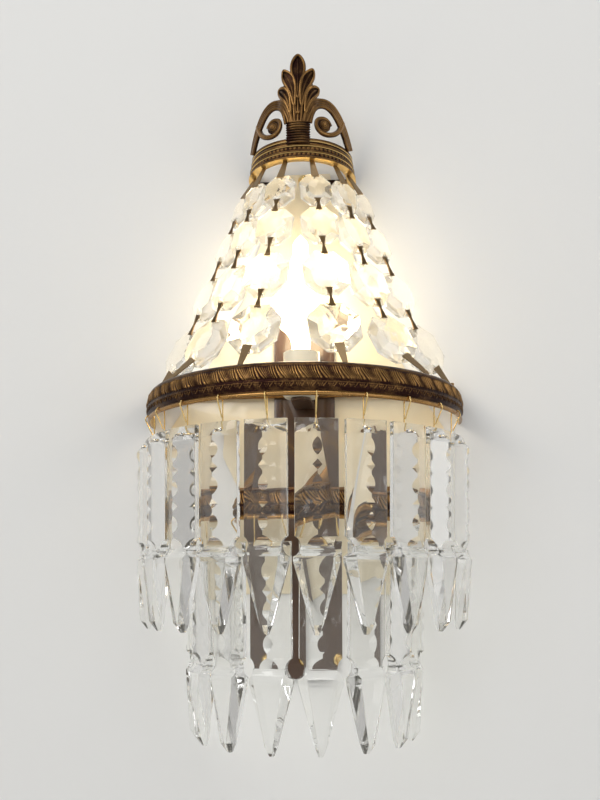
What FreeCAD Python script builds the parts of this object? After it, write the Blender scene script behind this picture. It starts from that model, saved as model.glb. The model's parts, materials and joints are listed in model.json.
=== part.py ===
"""Crystal wall lamp: crown, bead strands, two half rings and two tiers of hanging prisms.

Frame: millimetres, +Z up, +X to the right, the wall is the plane y = 0 and the lamp
stands out of it towards -Y. The origin is on the wall, on the lamp's centre line, level
with the bottom edge of the upper ring.
"""
import FreeCAD, Part
import math
import os
import Sketcher
from FreeCAD import Placement, Rotation, Vector

doc = FreeCAD.newDocument("wall_lamp")

# The driving dimensions, in millimetres and degrees.
SIZES = {
    "small_gap": 0.3,
    "fit_gap": 0.1,
    "cut_overrun": 2.0,
    # reflector plate, hung flat on the wall
    "plate_thickness": 1.0,
    "plate_top": 197.0,
    "plate_drop": 119.0,
    "plate_half_width": 100.0,
    # flat bar down the middle
    "bar_width": 44.0,
    "bar_thickness": 3.0,
    "bar_top": 74.0,
    "bar_drop": 176.0,
    "bar_end_chamfer": 8.0,
    # half rings of band
    "upper_ring_radius": 114.0,
    "upper_ring_offset": 2.0,
    "upper_ring_height": 22.0,
    "lower_ring_offset": 8.0,
    "lower_ring_height": 20.0,
    "lower_ring_drop": 72.0,
    "band_wall": 1.6,
    "band_bulge": 2.0,
    "band_shoulder": 6.0,
    "rim_width": 5.0,
    "strap_thickness": 2.5,
    "strap_height": 9.0,
    # screws of the frame
    "frame_screw_radius": 2.0,
    "frame_screw_head": 3.5,
    "frame_screw_head_height": 2.2,
    "frame_screw_spread": 14.0,
    "wall_screw_radius": 2.0,
    "wall_screw_head": 4.5,
    "wall_screw_head_height": 3.4,
    "wall_screw_reach": 30.0,
    "wall_neck_radius": 2.7,
    "wall_neck_reach": 1.0,
    "upper_screw_height": 192.0,
    "lower_screw_drop": 163.0,
    # crown
    "crown_bottom": 183.0,
    "crown_height": 16.0,
    "crown_radius": 40.0,
    "crown_taper": 2.4,
    "crown_offset": 18.0,
    "crown_wall": 1.6,
    "crown_rim": 7.0,
    "lug_reach": 14.0,
    "lug_thickness": 1.6,
    "lug_height": 8.0,
    "lug_screw_place": 17.5,
    "small_screw_radius": 1.5,
    "small_screw_head": 2.6,
    "small_screw_head_height": 1.6,
    # palmette, neck and scroll arms on the crown
    "cresting_height": 66.0,
    "cresting_half_width": 16.8,
    "cresting_thickness": 5.5,
    "cresting_inset": 0.4,
    "foot_half_width": 6.5,
    "foot_thickness": 3.0,
    "foot_screw_drop": 5.0,
    "foot_drop": 9.0,
    "scroll_rise": 35.0,
    "scroll_top_radius": 35.5,
    "scroll_wall": 3.2,
    "scroll_eye_angle": 31.0,
    "scroll_eye_radius": 5.6,
    "scroll_eye_thickness": 4.0,
    # lamp holder, its arm and the wiring
    "holder_reach": 36.0,
    "holder_radius": 13.5,
    "holder_height": 32.0,
    "holder_wall": 2.6,
    "holder_floor": 6.0,
    "arm_width": 14.0,
    "arm_thickness": 2.0,
    "arm_rise": 12.0,
    "arm_tab": 18.0,
    "shell_radius": 7.1,
    "shell_wall": 0.5,
    "contact_height": 2.5,
    "contact_radius": 4.0,
    "block_width": 24.0,
    "block_depth": 12.0,
    "block_height": 14.0,
    "block_rise": 38.0,
    "block_screw_bore": 1.8,
    "inlet_rise": 61.0,
    "inlet_radius": 5.0,
    "lead_radius": 1.1,
    "lead_spread": 4.0,
    "lead_bend": 6.0,
    "lead_rise": 31.0,
    # candle bulb with its small screw base
    "cap_radius": 7.0,
    "cap_height": 22.0,
    "cap_wall": 0.5,
    "bulb_radius": 17.5,
    "bulb_length": 100.0,
    "bulb_neck": 6.4,
    "bulb_wall": 0.9,
    "stem_radius": 2.5,
    "stem_height": 24.0,
    "filament_radius": 0.6,
    "filament_span": 14.0,
    # strands of octagonal crystals, crown to upper ring
    "strand_top_angle": 31.0,
    "foot_inner_angle": 18.0,
    "foot_middle_angle": 54.0,
    "foot_outer_angle": 79.0,
    "inner_sag": 7.0,
    "middle_sag": 14.0,
    "outer_sag": 7.0,
    "first_width": 22.0,
    "first_length": 25.5,
    "second_width": 25.8,
    "second_length": 29.5,
    "third_width": 31.0,
    "third_length": 34.5,
    "fourth_width": 34.5,
    "fourth_length": 37.5,
    "crystal_hole_inset": 2.6,
    "crystal_hole_radius": 0.9,
    "girdle_thickness": 2.6,
    "pin_radius": 0.5,
    "link_width": 5.0,
    "link_thickness": 0.8,
    "rivet_radius": 0.7,
    "rivet_head": 1.8,
    "rim_hole_radius": 1.6,
    # notched spear prisms and their wire hooks
    "prism_length": 127.0,
    "prism_gap": 0.6,
    "prism_inset": 8.8,
    "shoulder_lip": 0.75,
    "prism_depth": 10.5,
    "prism_edge": 3.4,
    "prism_bevel": 9.0,
    "prism_waist_drop": 76.0,
    "prism_shoulder_drop": 85.0,
    "spear_panel": 18.0,
    "spear_depth": 9.8,
    "spear_bevel": 6.0,
    "spear_end_width": 7.5,
    "spear_tip_width": 3.0,
    "waist_notch_radius": 6.6,
    "waist_notch_bite": 3.4,
    "prism_hole_drop": 6.0,
    "prism_hole_radius": 1.2,
    "ridge_cut_depth": 1.6,
    "ridge_oval_length": 11.0,
    "ridge_diamond_length": 6.5,
    "ridge_pitch": 22.0,
    "ridge_start": 17.5,
    "upper_prism_angle": 15.9,
    "lower_prism_angle": 24.0,
    "hook_wire_radius": 0.45,
    "hook_loop_radius": 3.0,
    "hook_hole_rise": 3.4,
    "hook_hole_radius": 1.3,
    "hook_bend": 1.2,
    "hook_open_angle": 25.0,
    "hook_leg_gap": 1.1,
    "hook_end_reach": 7.0,
    "prism_drop": 14.0,
    "prism_back_gap": 1.4,
}

UPPER_PRISMS = 10
LOWER_PRISMS = 8
RIDGE_OVALS = 3
TIER_SHARES = {"upper_ring": 1.0, "lower_ring": 0.68}

# Half outline of the reflector plate: share of its height, share of its half width.
PLATE_SHARES = [
    (0.0, 0.52), (0.312, 1.0), (0.37, 1.0), (0.423, 0.89), (0.53, 0.70), (0.625, 0.565),
    (0.68, 0.46), (0.77, 0.39), (0.845, 0.31), (0.912, 0.25), (1.0, 0.20),
]
# Half outline of the palmette on its neck: share of its half width, share of its height.
CRESTING_SHARES = [
    (0.5, 0.0), (0.5, 0.2), (0.58, 0.32), (0.78, 0.46), (1.0, 0.6), (0.92, 0.65), (0.64, 0.61), (0.7, 0.73),
    (0.73, 0.83), (0.58, 0.85), (0.34, 0.77), (0.34, 0.89), (0.2, 0.97), (0.0, 1.0),
]
# Outline of a scroll arm seen from the front: share of the crown's radius, share of the arm's rise.
SCROLL_SHARES = [
    (0.12, 0.3), (0.13, 0.62), (0.21, 0.86), (0.36, 1.0), (0.56, 1.0), (0.75, 0.85), (0.87, 0.62),
    (0.96, 0.34), (1.1, 0.0), (0.84, 0.0), (0.76, 0.12), (0.62, 0.08), (0.5, 0.06), (0.36, 0.14), (0.3, 0.34),
    (0.36, 0.52), (0.5, 0.56), (0.6, 0.5), (0.66, 0.4), (0.72, 0.5), (0.64, 0.66), (0.5, 0.76), (0.38, 0.72),
    (0.28, 0.6), (0.22, 0.42), (0.19, 0.3),
]
SCROLL_EYE_SHARE = 0.36
# Crystals along a strand: where each centre lies, as a share of the way down.
CRYSTAL_PLACE_SHARES = [0.16, 0.34, 0.575, 0.83]
STRAND_TURN_SHARE = 0.22
TABLE_SHARE = 0.5
GLASS_DENSITY_SHARE = 2.5 / 8.5
BEVEL_SHARE = 0.4
LINK_LIFT_SHARE = 0.8
STRAND_FACING_SHARES = {"inner": 0.95, "middle": 0.8, "outer": 0.62}

sheet = doc.addObject("Spreadsheet::Sheet", "sizes")
for row, (alias, value) in enumerate(SIZES.items(), start=1):
    sheet.set("A%d" % row, alias)
    sheet.set("B%d" % row, str(value))
    sheet.setAlias("B%d" % row, alias)
doc.recompute()


def size(alias):
    """One cell of the sheet as a number."""
    return float(sheet.get(alias))


def ring_radius(ring):
    """Outer radius of a ring: the lower one is a share of the upper one."""
    return size("upper_ring_radius") * TIER_SHARES[ring]


def origin_plane(body, role):
    """The body's own origin plane with this role."""
    for item in body.Origin.OriginFeatures:
        if item.Role == role:
            return item
    raise ValueError(role)


def new_sketch(body, name, role, offset=None):
    """A sketch on one of the body's origin planes, moved along its normal by an expression."""
    sketch = body.newObject("Sketcher::SketchObject", name)
    sketch.AttachmentSupport = [(origin_plane(body, role), "")]
    sketch.MapMode = "FlatFace"
    if offset:
        sketch.setExpression("AttachmentOffset.Base.z", offset)
    return sketch


def bind(sketch, kind, place, expression):
    """Constrain one coordinate of a point, (geometry, point), to an expression."""
    if expression == "0":
        axis = -2 if kind == "DistanceX" else -1
        sketch.addConstraint(Sketcher.Constraint("PointOnObject", place[0], place[1], axis))
        return
    value = float(sketch.evalExpression(expression))
    index = sketch.addConstraint(Sketcher.Constraint(kind, -1, 1, place[0], place[1], value))
    sketch.setExpression("Constraints[%d]" % index, expression)


def draw_outline(sketch, points):
    """A closed outline of straight lines through points given as pairs of expressions."""
    places = [Vector(float(sketch.evalExpression(x)), float(sketch.evalExpression(y)), 0) for x, y in points]
    count = len(places)
    for index in range(count):
        sketch.addGeometry(Part.LineSegment(places[index], places[(index + 1) % count]), False)
    for index in range(count):
        sketch.addConstraint(Sketcher.Constraint("Coincident", index, 2, (index + 1) % count, 1))
    for index, (across, along) in enumerate(points):
        bind(sketch, "DistanceX", (index, 1), across)
        bind(sketch, "DistanceY", (index, 1), along)


def draw_circles(sketch, circles):
    """Circles given as (x, y, radius) expressions."""
    for across, along, radius in circles:
        centre = Vector(float(sketch.evalExpression(across)), float(sketch.evalExpression(along)), 0)
        value = float(sketch.evalExpression(radius))
        index = sketch.addGeometry(Part.Circle(centre, Vector(0, 0, 1), value), False)
        bind(sketch, "DistanceX", (index, 3), across)
        bind(sketch, "DistanceY", (index, 3), along)
        limit = sketch.addConstraint(Sketcher.Constraint("Radius", index, value))
        sketch.setExpression("Constraints[%d]" % limit, radius)


def new_body(label):
    """An empty body whose label is its node's name."""
    body = doc.addObject("PartDesign::Body", label)
    body.Label = label
    return body


def pad(body, name, sketch, length):
    """Pad a sketch along its normal by an expression."""
    feature = body.newObject("PartDesign::Pad", name)
    feature.Profile = sketch
    feature.setExpression("Length", length)
    return feature


def cut_through(body, name, sketch):
    """Cut a sketch through the whole body, both ways, and check that it took something off."""
    before = body.Tip.Shape.Volume
    feature = body.newObject("PartDesign::Pocket", name)
    feature.Profile = sketch
    feature.Type = "ThroughAll"
    feature.Midplane = True
    doc.recompute()
    if not feature.Shape.Volume < before:
        raise RuntimeError("nothing cut by " + name)
    return feature


def spin(body, name, sketch, angle, backwards=False):
    """Turn a sketch about its own vertical axis."""
    feature = body.newObject("PartDesign::Revolution", name)
    feature.Profile = sketch
    feature.ReferenceAxis = (sketch, ["V_Axis"])
    feature.Angle = angle
    feature.Reversed = backwards
    return feature


def mirror_left(body, name, originals):
    """Repeat features on the other side of the body's centre plane."""
    feature = body.newObject("PartDesign::Mirrored", name)
    feature.Originals = originals
    feature.MirrorPlane = (origin_plane(body, "YZ_Plane"), [""])
    body.Tip = feature
    return feature


def new_feature(label, shape, placement=Placement()):
    """A piece whose shape is worked out here."""
    feature = doc.addObject("Part::Feature", label)
    feature.Label = label
    feature.Shape = shape
    feature.Placement = placement.multiply(shape.Placement)
    return feature


def box(low, high):
    """A solid box between two corners."""
    return Part.makeBox(high[0] - low[0], high[1] - low[1], high[2] - low[2], Vector(*low))


def face_of(points):
    """A flat face bounded by straight lines through the points."""
    return Part.Face(Part.makePolygon(points + points[:1]))


def wire_tube(edges, radius):
    """A round wire along a path of lines and arcs that run smoothly into each other."""
    path = Part.Wire(edges)
    start = path.OrderedEdges[0]
    direction = start.tangentAt(start.FirstParameter)
    ring = Part.Wire([Part.makeCircle(radius, start.valueAt(start.FirstParameter), direction)])
    tube = path.makePipeShell([ring], True, False)
    return one_solid(tube if tube.Volume > 0 else tube.reversed())


def screw(radius, length, head_radius, head_height):
    """A domed screw along +Y: its head stands on y = 0 towards -Y, its shank runs to +Y."""
    shank = Part.makeCylinder(radius, length, Vector(0, 0, 0), Vector(0, 1, 0))
    tip = Part.makeCone(radius, 0, radius, Vector(0, length, 0), Vector(0, 1, 0))
    ball_radius = (head_radius ** 2 + head_height ** 2) / (2 * head_height)
    ball = Part.makeSphere(ball_radius, Vector(0, ball_radius - head_height, 0))
    front = Part.makeCylinder(head_radius, head_height, Vector(0, -head_height, 0), Vector(0, 1, 0))
    return one_solid(shank.fuse([tip, ball.common(front)]).removeSplitter())


def one_solid(shape):
    """The only solid of a result, which must be in one piece."""
    if len(shape.Solids) != 1:
        raise RuntimeError("%d solids instead of one" % len(shape.Solids))
    return shape.Solids[0]


def moved(shape, x, y, z):
    """A copy of a shape, moved."""
    copy = shape.copy()
    copy.translate(Vector(x, y, z))
    return copy


# Reflector plate
def make_reflector_plate():
    body = new_body("reflector_plate")
    sketch = new_sketch(body, "plate_outline", "XZ_Plane")
    right = [
        ("sizes.plate_half_width * %s" % across,
            "(sizes.plate_top + sizes.plate_drop) * %s - sizes.plate_drop" % up)
        for up, across in PLATE_SHARES
    ]
    left = [("-" + across, up) for across, up in reversed(right)]
    draw_outline(sketch, right + left)
    pad(body, "plate_sheet", sketch, "sizes.plate_thickness")
    doc.recompute()
    holes = new_sketch(body, "plate_holes_outline", "XZ_Plane")
    draw_circles(holes, [
        ("0", "sizes.upper_screw_height", "sizes.wall_neck_radius + sizes.small_gap"),
        ("0", "sizes.inlet_rise", "sizes.inlet_radius"),
        ("sizes.lug_screw_place", "sizes.crown_bottom + sizes.lug_height / 2",
            "sizes.small_screw_radius + sizes.fit_gap"),
        ("-sizes.lug_screw_place", "sizes.crown_bottom + sizes.lug_height / 2",
            "sizes.small_screw_radius + sizes.fit_gap"),
    ])
    cut_through(body, "plate_holes", holes)


# Centre bar
def make_centre_bar():
    body = new_body("centre_bar")
    body.setExpression("Placement.Base.y", "-sizes.plate_thickness")
    sketch = new_sketch(body, "bar_outline", "XZ_Plane")
    half, low, step = "sizes.bar_width / 2", "-sizes.bar_drop", "sizes.bar_end_chamfer"
    draw_outline(sketch, [
        (half, "sizes.bar_top"), ("-" + half, "sizes.bar_top"), ("-" + half, "%s + %s" % (low, step)),
        ("-%s + %s" % (half, step), low), ("%s - %s" % (half, step), low), (half, "%s + %s" % (low, step)),
    ])
    pad(body, "bar_strip", sketch, "sizes.bar_thickness")
    doc.recompute()
    hole = "sizes.frame_screw_radius + sizes.fit_gap"
    strap_middle = " - sizes.band_wall + sizes.strap_height / 2"
    circles = [
        ("0", "-sizes.lower_screw_drop", "sizes.wall_neck_radius + sizes.small_gap"),
        ("0", "sizes.inlet_rise", "sizes.inlet_radius"),
        ("0", "sizes.upper_ring_height" + strap_middle, hole),
    ]
    for side in ("", "-"):
        circles.append((side + "sizes.frame_screw_spread", "sizes.upper_ring_height" + strap_middle, hole))
        circles.append((side + "sizes.frame_screw_spread",
                        "sizes.lower_ring_height" + strap_middle + " - sizes.lower_ring_drop", hole))
    holes = new_sketch(body, "bar_holes_outline", "XZ_Plane")
    draw_circles(holes, circles)
    cut_through(body, "bar_holes", holes)


# Half rings of band with a cross strap at the back
def make_ring(label, prefix, drop, prisms, angle, end_length, feet):
    body = new_body(label)
    body.setExpression("Placement.Base.y", "-sizes.%s_offset" % prefix)
    body.setExpression("Placement.Base.z", drop)
    reach = "(sizes.upper_ring_radius * %s)" % TIER_SHARES[prefix]
    tall, wall = "sizes.%s_height" % prefix, "sizes.band_wall"
    profile = new_sketch(body, prefix + "_section", "XZ_Plane")
    skirt, slope = reach + " - sizes.band_bulge", reach + " - sizes.band_shoulder * 0.35"
    top, back = reach + " - sizes.band_shoulder", reach + " - sizes.band_shoulder - sizes.rim_width"
    draw_outline(profile, [
        (skirt, "0"), (skirt, tall + " * 0.27"), (reach, tall + " * 0.39"), (reach, tall + " * 0.7"),
        (slope, tall + " * 0.88"), (top, tall), (back, tall), (back, "%s - %s" % (tall, wall)),
        ("%s - %s * 0.4" % (top, wall), "%s - %s" % (tall, wall)),
        ("%s - %s" % (slope, wall), "%s * 0.88 - %s * 0.6" % (tall, wall)),
        ("%s - %s" % (reach, wall), tall + " * 0.68"), ("%s - %s" % (reach, wall), tall + " * 0.41"),
        ("%s - %s" % (skirt, wall), tall + " * 0.29"), ("%s - %s" % (skirt, wall), "0"),
    ])
    half_turn = spin(body, prefix + "_band", profile, 180, backwards=True)
    side = body.newObject("PartDesign::Pad", prefix + "_end")
    side.Profile = profile
    side.Reversed = True
    side.setExpression("Length", end_length)
    doc.recompute()
    mirror_left(body, prefix + "_ends", [side])
    doc.recompute()
    strap = new_sketch(body, prefix + "_strap_outline", "XY_Plane", "%s - %s" % (tall, wall))
    near = "sizes.%s_offset - sizes.plate_thickness - sizes.bar_thickness" % prefix
    end = "%s - sizes.band_shoulder" % reach
    draw_outline(strap, [
        (end, near), ("-(%s)" % end, near), ("-(%s)" % end, near + " - sizes.strap_thickness"),
        (end, near + " - sizes.strap_thickness"),
    ])
    pad(body, prefix + "_strap", strap, "sizes.strap_height")
    doc.recompute()
    screws = new_sketch(body, prefix + "_screw_places", "XZ_Plane")
    middle = "%s - %s + sizes.strap_height / 2" % (tall, wall)
    hole = "sizes.frame_screw_radius + sizes.fit_gap"
    circles = [(side_sign + "sizes.frame_screw_spread", middle, hole) for side_sign in ("", "-")]
    draw_circles(screws, circles + [("0", middle, hole)] if feet else circles)
    before = body.Tip.Shape.Volume
    bore = body.newObject("PartDesign::Pocket", prefix + "_screw_holes")
    bore.Profile = screws
    bore.setExpression("Length", "sizes.strap_thickness * 4 + sizes.bar_thickness")
    if half_turn.Shape.Volume <= 0:
        raise RuntimeError("no band in " + label)
    doc.recompute()
    if not bore.Shape.Volume < before:
        bore.Reversed = True
    first = new_sketch(body, prefix + "_hook_place", "XZ_Plane")
    first.AttachmentOffset = Placement(Vector(0, 0, 0), Rotation(Vector(0, 1, 0), 10))
    first.setExpression("AttachmentOffset.Rotation.Angle", "-%s * sizes.%s" % ((prisms - 1) / 2, angle))
    draw_circles(first, [("0", "sizes.hook_hole_rise", "sizes.hook_hole_radius")])
    drill = body.newObject("PartDesign::Pocket", prefix + "_hook_hole")
    drill.Profile = first
    drill.Type = "ThroughAll"
    drill.Reversed = True
    doc.recompute()
    pattern = body.newObject("PartDesign::PolarPattern", prefix + "_hook_holes")
    pattern.Originals = [drill]
    pattern.Axis = (profile, ["V_Axis"])
    pattern.setExpression("Angle", "%d * sizes.%s" % (prisms - 1, angle))
    pattern.Occurrences = prisms
    body.Tip = pattern
    doc.recompute()
    if feet:
        rim = "(%s - sizes.band_shoulder - sizes.rim_width / 2)" % reach
        spots = new_sketch(body, prefix + "_foot_places", "XY_Plane")
        circles = []
        for foot in ("inner", "middle", "outer"):
            across = "%s * sin(sizes.foot_%s_angle)" % (rim, foot)
            out = "-%s * cos(sizes.foot_%s_angle)" % (rim, foot)
            circles += [(across, out, "sizes.rim_hole_radius"), ("-" + across, out, "sizes.rim_hole_radius")]
        draw_circles(spots, circles)
        cut_through(body, prefix + "_foot_holes", spots)
    return body


# Crown band with its strand rim and the lugs on the plate
def make_crown_band():
    body = new_body("crown_band")
    body.setExpression("Placement.Base.y", "-sizes.crown_offset")
    body.setExpression("Placement.Base.z", "sizes.crown_bottom")
    tall, reach, wall = "sizes.crown_height", "sizes.crown_radius", "sizes.crown_wall"
    profile = new_sketch(body, "crown_section", "XZ_Plane")
    steps = [(0.0, 0.0), (0.0, 0.17), (0.3, 0.24), (0.3, 0.42), (0.55, 0.5), (0.55, 0.67),
             (0.85, 0.75), (1.0, 1.0)]
    outer = [("%s - sizes.crown_taper * %s" % (reach, inset), "%s * %s" % (tall, up)) for inset, up in steps]
    outer = [(across, "0" if up.endswith("* 0.0") else up) for across, up in outer]
    inner = [
        ("%s - sizes.crown_taper - %s" % (reach, wall), tall),
        ("%s - sizes.crown_taper * 0.3 - %s" % (reach, wall), wall + " * 2"),
        ("%s - sizes.crown_taper * 0.3 - %s" % (reach, wall), wall),
        ("%s - sizes.crown_rim" % reach, wall),
        ("%s - sizes.crown_rim" % reach, "0"),
    ]
    draw_outline(profile, outer + inner)
    spin(body, "crown_bow", profile, 180, backwards=True)
    side = body.newObject("PartDesign::Pad", "crown_side")
    side.Profile = profile
    side.Reversed = True
    side.setExpression("Length", "sizes.crown_offset - sizes.plate_thickness")
    doc.recompute()
    mirror_left(body, "crown_sides", [side])
    doc.recompute()
    lugs = new_sketch(body, "lug_outline", "XZ_Plane", "-(sizes.crown_offset - sizes.plate_thickness)")
    out = "%s - sizes.crown_taper * 0.3 - %s / 2" % (reach, wall)
    draw_outline(lugs, [
        (out, "0"), (out, "sizes.lug_height"),
        ("sizes.lug_reach", "sizes.lug_height"), ("sizes.lug_reach", "0"),
    ])
    lug = pad(body, "crown_lug", lugs, "sizes.lug_thickness")
    doc.recompute()
    mirror_left(body, "crown_lugs", [lug])
    doc.recompute()
    back = new_sketch(body, "lug_screw_places", "XZ_Plane", "-sizes.crown_offset")
    hole = "sizes.small_screw_radius + sizes.fit_gap"
    draw_circles(back, [(sign + "sizes.lug_screw_place", "sizes.lug_height / 2", hole) for sign in ("", "-")])
    before = body.Tip.Shape.Volume
    bore = body.newObject("PartDesign::Pocket", "lug_screw_holes")
    bore.Profile = back
    bore.setExpression("Length", "sizes.lug_thickness * 3")
    bore.Reversed = True
    doc.recompute()
    if not bore.Shape.Volume < before:
        raise RuntimeError("lug holes missed")
    front = new_sketch(body, "foot_screw_place", "XZ_Plane")
    draw_circles(front, [("0", "sizes.crown_height - sizes.foot_screw_drop", hole)])
    before = bore.Shape.Volume
    nose = body.newObject("PartDesign::Pocket", "foot_screw_hole")
    nose.Profile = front
    nose.Type = "ThroughAll"
    nose.Reversed = True
    doc.recompute()
    if not nose.Shape.Volume < before:
        raise RuntimeError("crown screw hole missed")
    rim = "(%s - sizes.crown_rim + sizes.rim_hole_radius * 1.5)" % reach
    spots = new_sketch(body, "hook_places", "XY_Plane")
    circles = []
    for step in (0.5, 1.5, 2.5):
        across = "%s * sin(sizes.strand_top_angle * %s)" % (rim, step)
        ahead = "-%s * cos(sizes.strand_top_angle * %s)" % (rim, step)
        circles += [(across, ahead, "sizes.rim_hole_radius"), ("-" + across, ahead, "sizes.rim_hole_radius")]
    draw_circles(spots, circles)
    cut_through(body, "hook_holes", spots)


# Palmette, neck and scroll arms in one casting
def make_crown_cresting():
    half, tall, thick = size("cresting_half_width"), size("cresting_height"), size("cresting_thickness")
    top = size("crown_bottom") + size("crown_height")
    reach, offset = size("crown_radius") - size("crown_taper") / 2, size("crown_offset")
    foot_half = size("foot_half_width")
    front = -offset - size("crown_radius") + size("cresting_inset")
    right = [Vector(half * across, front, top + tall * up) for across, up in CRESTING_SHARES]
    left = [Vector(-point.x, point.y, point.z) for point in reversed(right[:-1])]
    palmette = face_of(right + left).extrude(Vector(0, thick, 0))
    inside = size("crown_radius") - size("crown_taper") - size("crown_wall")
    face = -offset - math.sqrt(inside ** 2 - foot_half ** 2) + size("small_gap")
    foot = box((-foot_half, face, top - size("foot_drop")),
               (foot_half, face + size("foot_thickness"), top + thick))
    rise, upper, wall = size("scroll_rise"), size("scroll_top_radius"), size("scroll_wall")
    middle = Vector(0, -offset, top)
    hollow = Part.makeCone(reach - wall, upper - wall, rise, middle)
    shell = Part.makeCone(reach, upper, rise, middle).cut(hollow)
    angle = math.radians(size("scroll_eye_angle"))
    eye, deep = size("scroll_eye_radius"), size("scroll_eye_thickness")
    eye_radius = reach - (reach - upper) * SCROLL_EYE_SHARE - wall / 2
    solids = [foot]
    for side in (-1, 1):
        outline = [Vector(side * reach * across, -offset, top + rise * up) for across, up in SCROLL_SHARES]
        solids.append(shell.common(face_of(outline).extrude(Vector(0, -reach * 1.1, 0))))
        outward = Vector(side * math.sin(angle), -math.cos(angle), 0)
        centre = middle + outward * (eye_radius - deep / 2) + Vector(0, 0, rise * SCROLL_EYE_SHARE)
        solids.append(Part.makeCylinder(eye, deep, centre, outward))
    shape = palmette.fuse(solids).removeSplitter()
    place = Vector(0, face - size("small_gap"), top - size("foot_screw_drop"))
    hole = Part.makeCylinder(size("small_screw_radius") + size("fit_gap"), thick, place, Vector(0, 1, 0))
    new_feature("crown_cresting", one_solid(shape.cut(hole)))


# Screws, each kind a group of separate solids
def make_screws():
    plate, bar, strap = size("plate_thickness"), size("bar_thickness"), size("strap_thickness")
    frame_screw = screw(size("frame_screw_radius"), bar + strap - size("frame_screw_radius"),
                        size("frame_screw_head"), size("frame_screw_head_height"))
    middle = size("strap_height") / 2 - size("band_wall")
    places = []
    for side in (-1, 1):
        for height in (size("upper_ring_height"), size("lower_ring_height") - size("lower_ring_drop")):
            place = (side * size("frame_screw_spread"), -plate - bar - strap, middle + height)
            places.append(moved(frame_screw, *place))
    length = bar + strap + size("arm_thickness") - size("frame_screw_radius")
    arm_screw = screw(size("frame_screw_radius"), length,
                      size("frame_screw_head"), size("frame_screw_head_height"))
    place = (0, -plate - bar - strap - size("arm_thickness"), middle + size("upper_ring_height"))
    places.append(moved(arm_screw, *place))
    new_feature("frame_screws", Part.makeCompound(places))

    wall_pair = []
    for grip, height in ((plate, size("upper_screw_height")), (plate + bar, -size("lower_screw_drop"))):
        plain = screw(size("wall_screw_radius"), size("wall_screw_reach") + grip, size("wall_screw_head"),
                      size("wall_screw_head_height"))
        neck = Part.makeCylinder(size("wall_neck_radius"), grip, Vector(0, 0, 0), Vector(0, 1, 0))
        throat = Part.makeCone(size("wall_neck_radius"), size("wall_screw_radius"), size("wall_neck_reach"),
                               Vector(0, grip, 0), Vector(0, 1, 0))
        wall_pair.append(moved(one_solid(plain.fuse([neck, throat]).removeSplitter()), 0, -grip, height))
    new_feature("wall_screws", Part.makeCompound(wall_pair))

    lug = size("lug_thickness")
    small = screw(size("small_screw_radius"), lug + plate - size("small_screw_radius"),
                  size("small_screw_head"), size("small_screw_head_height"))
    height = size("crown_bottom") + size("lug_height") / 2
    pair = [moved(small, side * size("lug_screw_place"), -plate - lug, height) for side in (-1, 1)]
    inside = size("crown_radius") - size("crown_taper") - size("crown_wall")
    back = math.sqrt(inside ** 2 - size("foot_half_width") ** 2) - size("small_gap") - size("foot_thickness")
    shank = inside + size("crown_wall") - back - size("small_screw_radius")
    nose = screw(size("small_screw_radius"), shank, size("small_screw_head"), size("small_screw_head_height"))
    nose.rotate(Vector(0, 0, 0), Vector(0, 0, 1), 180)
    pair.append(moved(nose, 0, -size("crown_offset") - back,
                      size("crown_bottom") + size("crown_height") - size("foot_screw_drop")))
    new_feature("crown_screws", Part.makeCompound(pair))


# Lamp arm: a bent strip from the upper ring's strap to under the lamp holder
def make_lamp_arm():
    front = -size("plate_thickness") - size("bar_thickness") - size("strap_thickness")
    thick, half = size("arm_thickness"), size("arm_width") / 2
    low, high = size("arm_rise"), size("arm_rise") + size("arm_tab")
    end = -size("holder_reach") - half
    tab = box((-half, front - thick, low), (half, front, high))
    shelf = box((-half, end + half, low), (half, front, low + thick))
    nose = Part.makeCylinder(half, thick, Vector(0, end + half, low))
    arm = tab.fuse([shelf, nose]).removeSplitter()
    radius = size("frame_screw_radius") + size("fit_gap")
    middle = size("upper_ring_height") - size("band_wall") + size("strap_height") / 2
    hole = Part.makeCylinder(radius, thick * 3, Vector(0, front - thick * 2, middle), Vector(0, 1, 0))
    new_feature("lamp_arm", one_solid(arm.cut(hole)))


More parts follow.
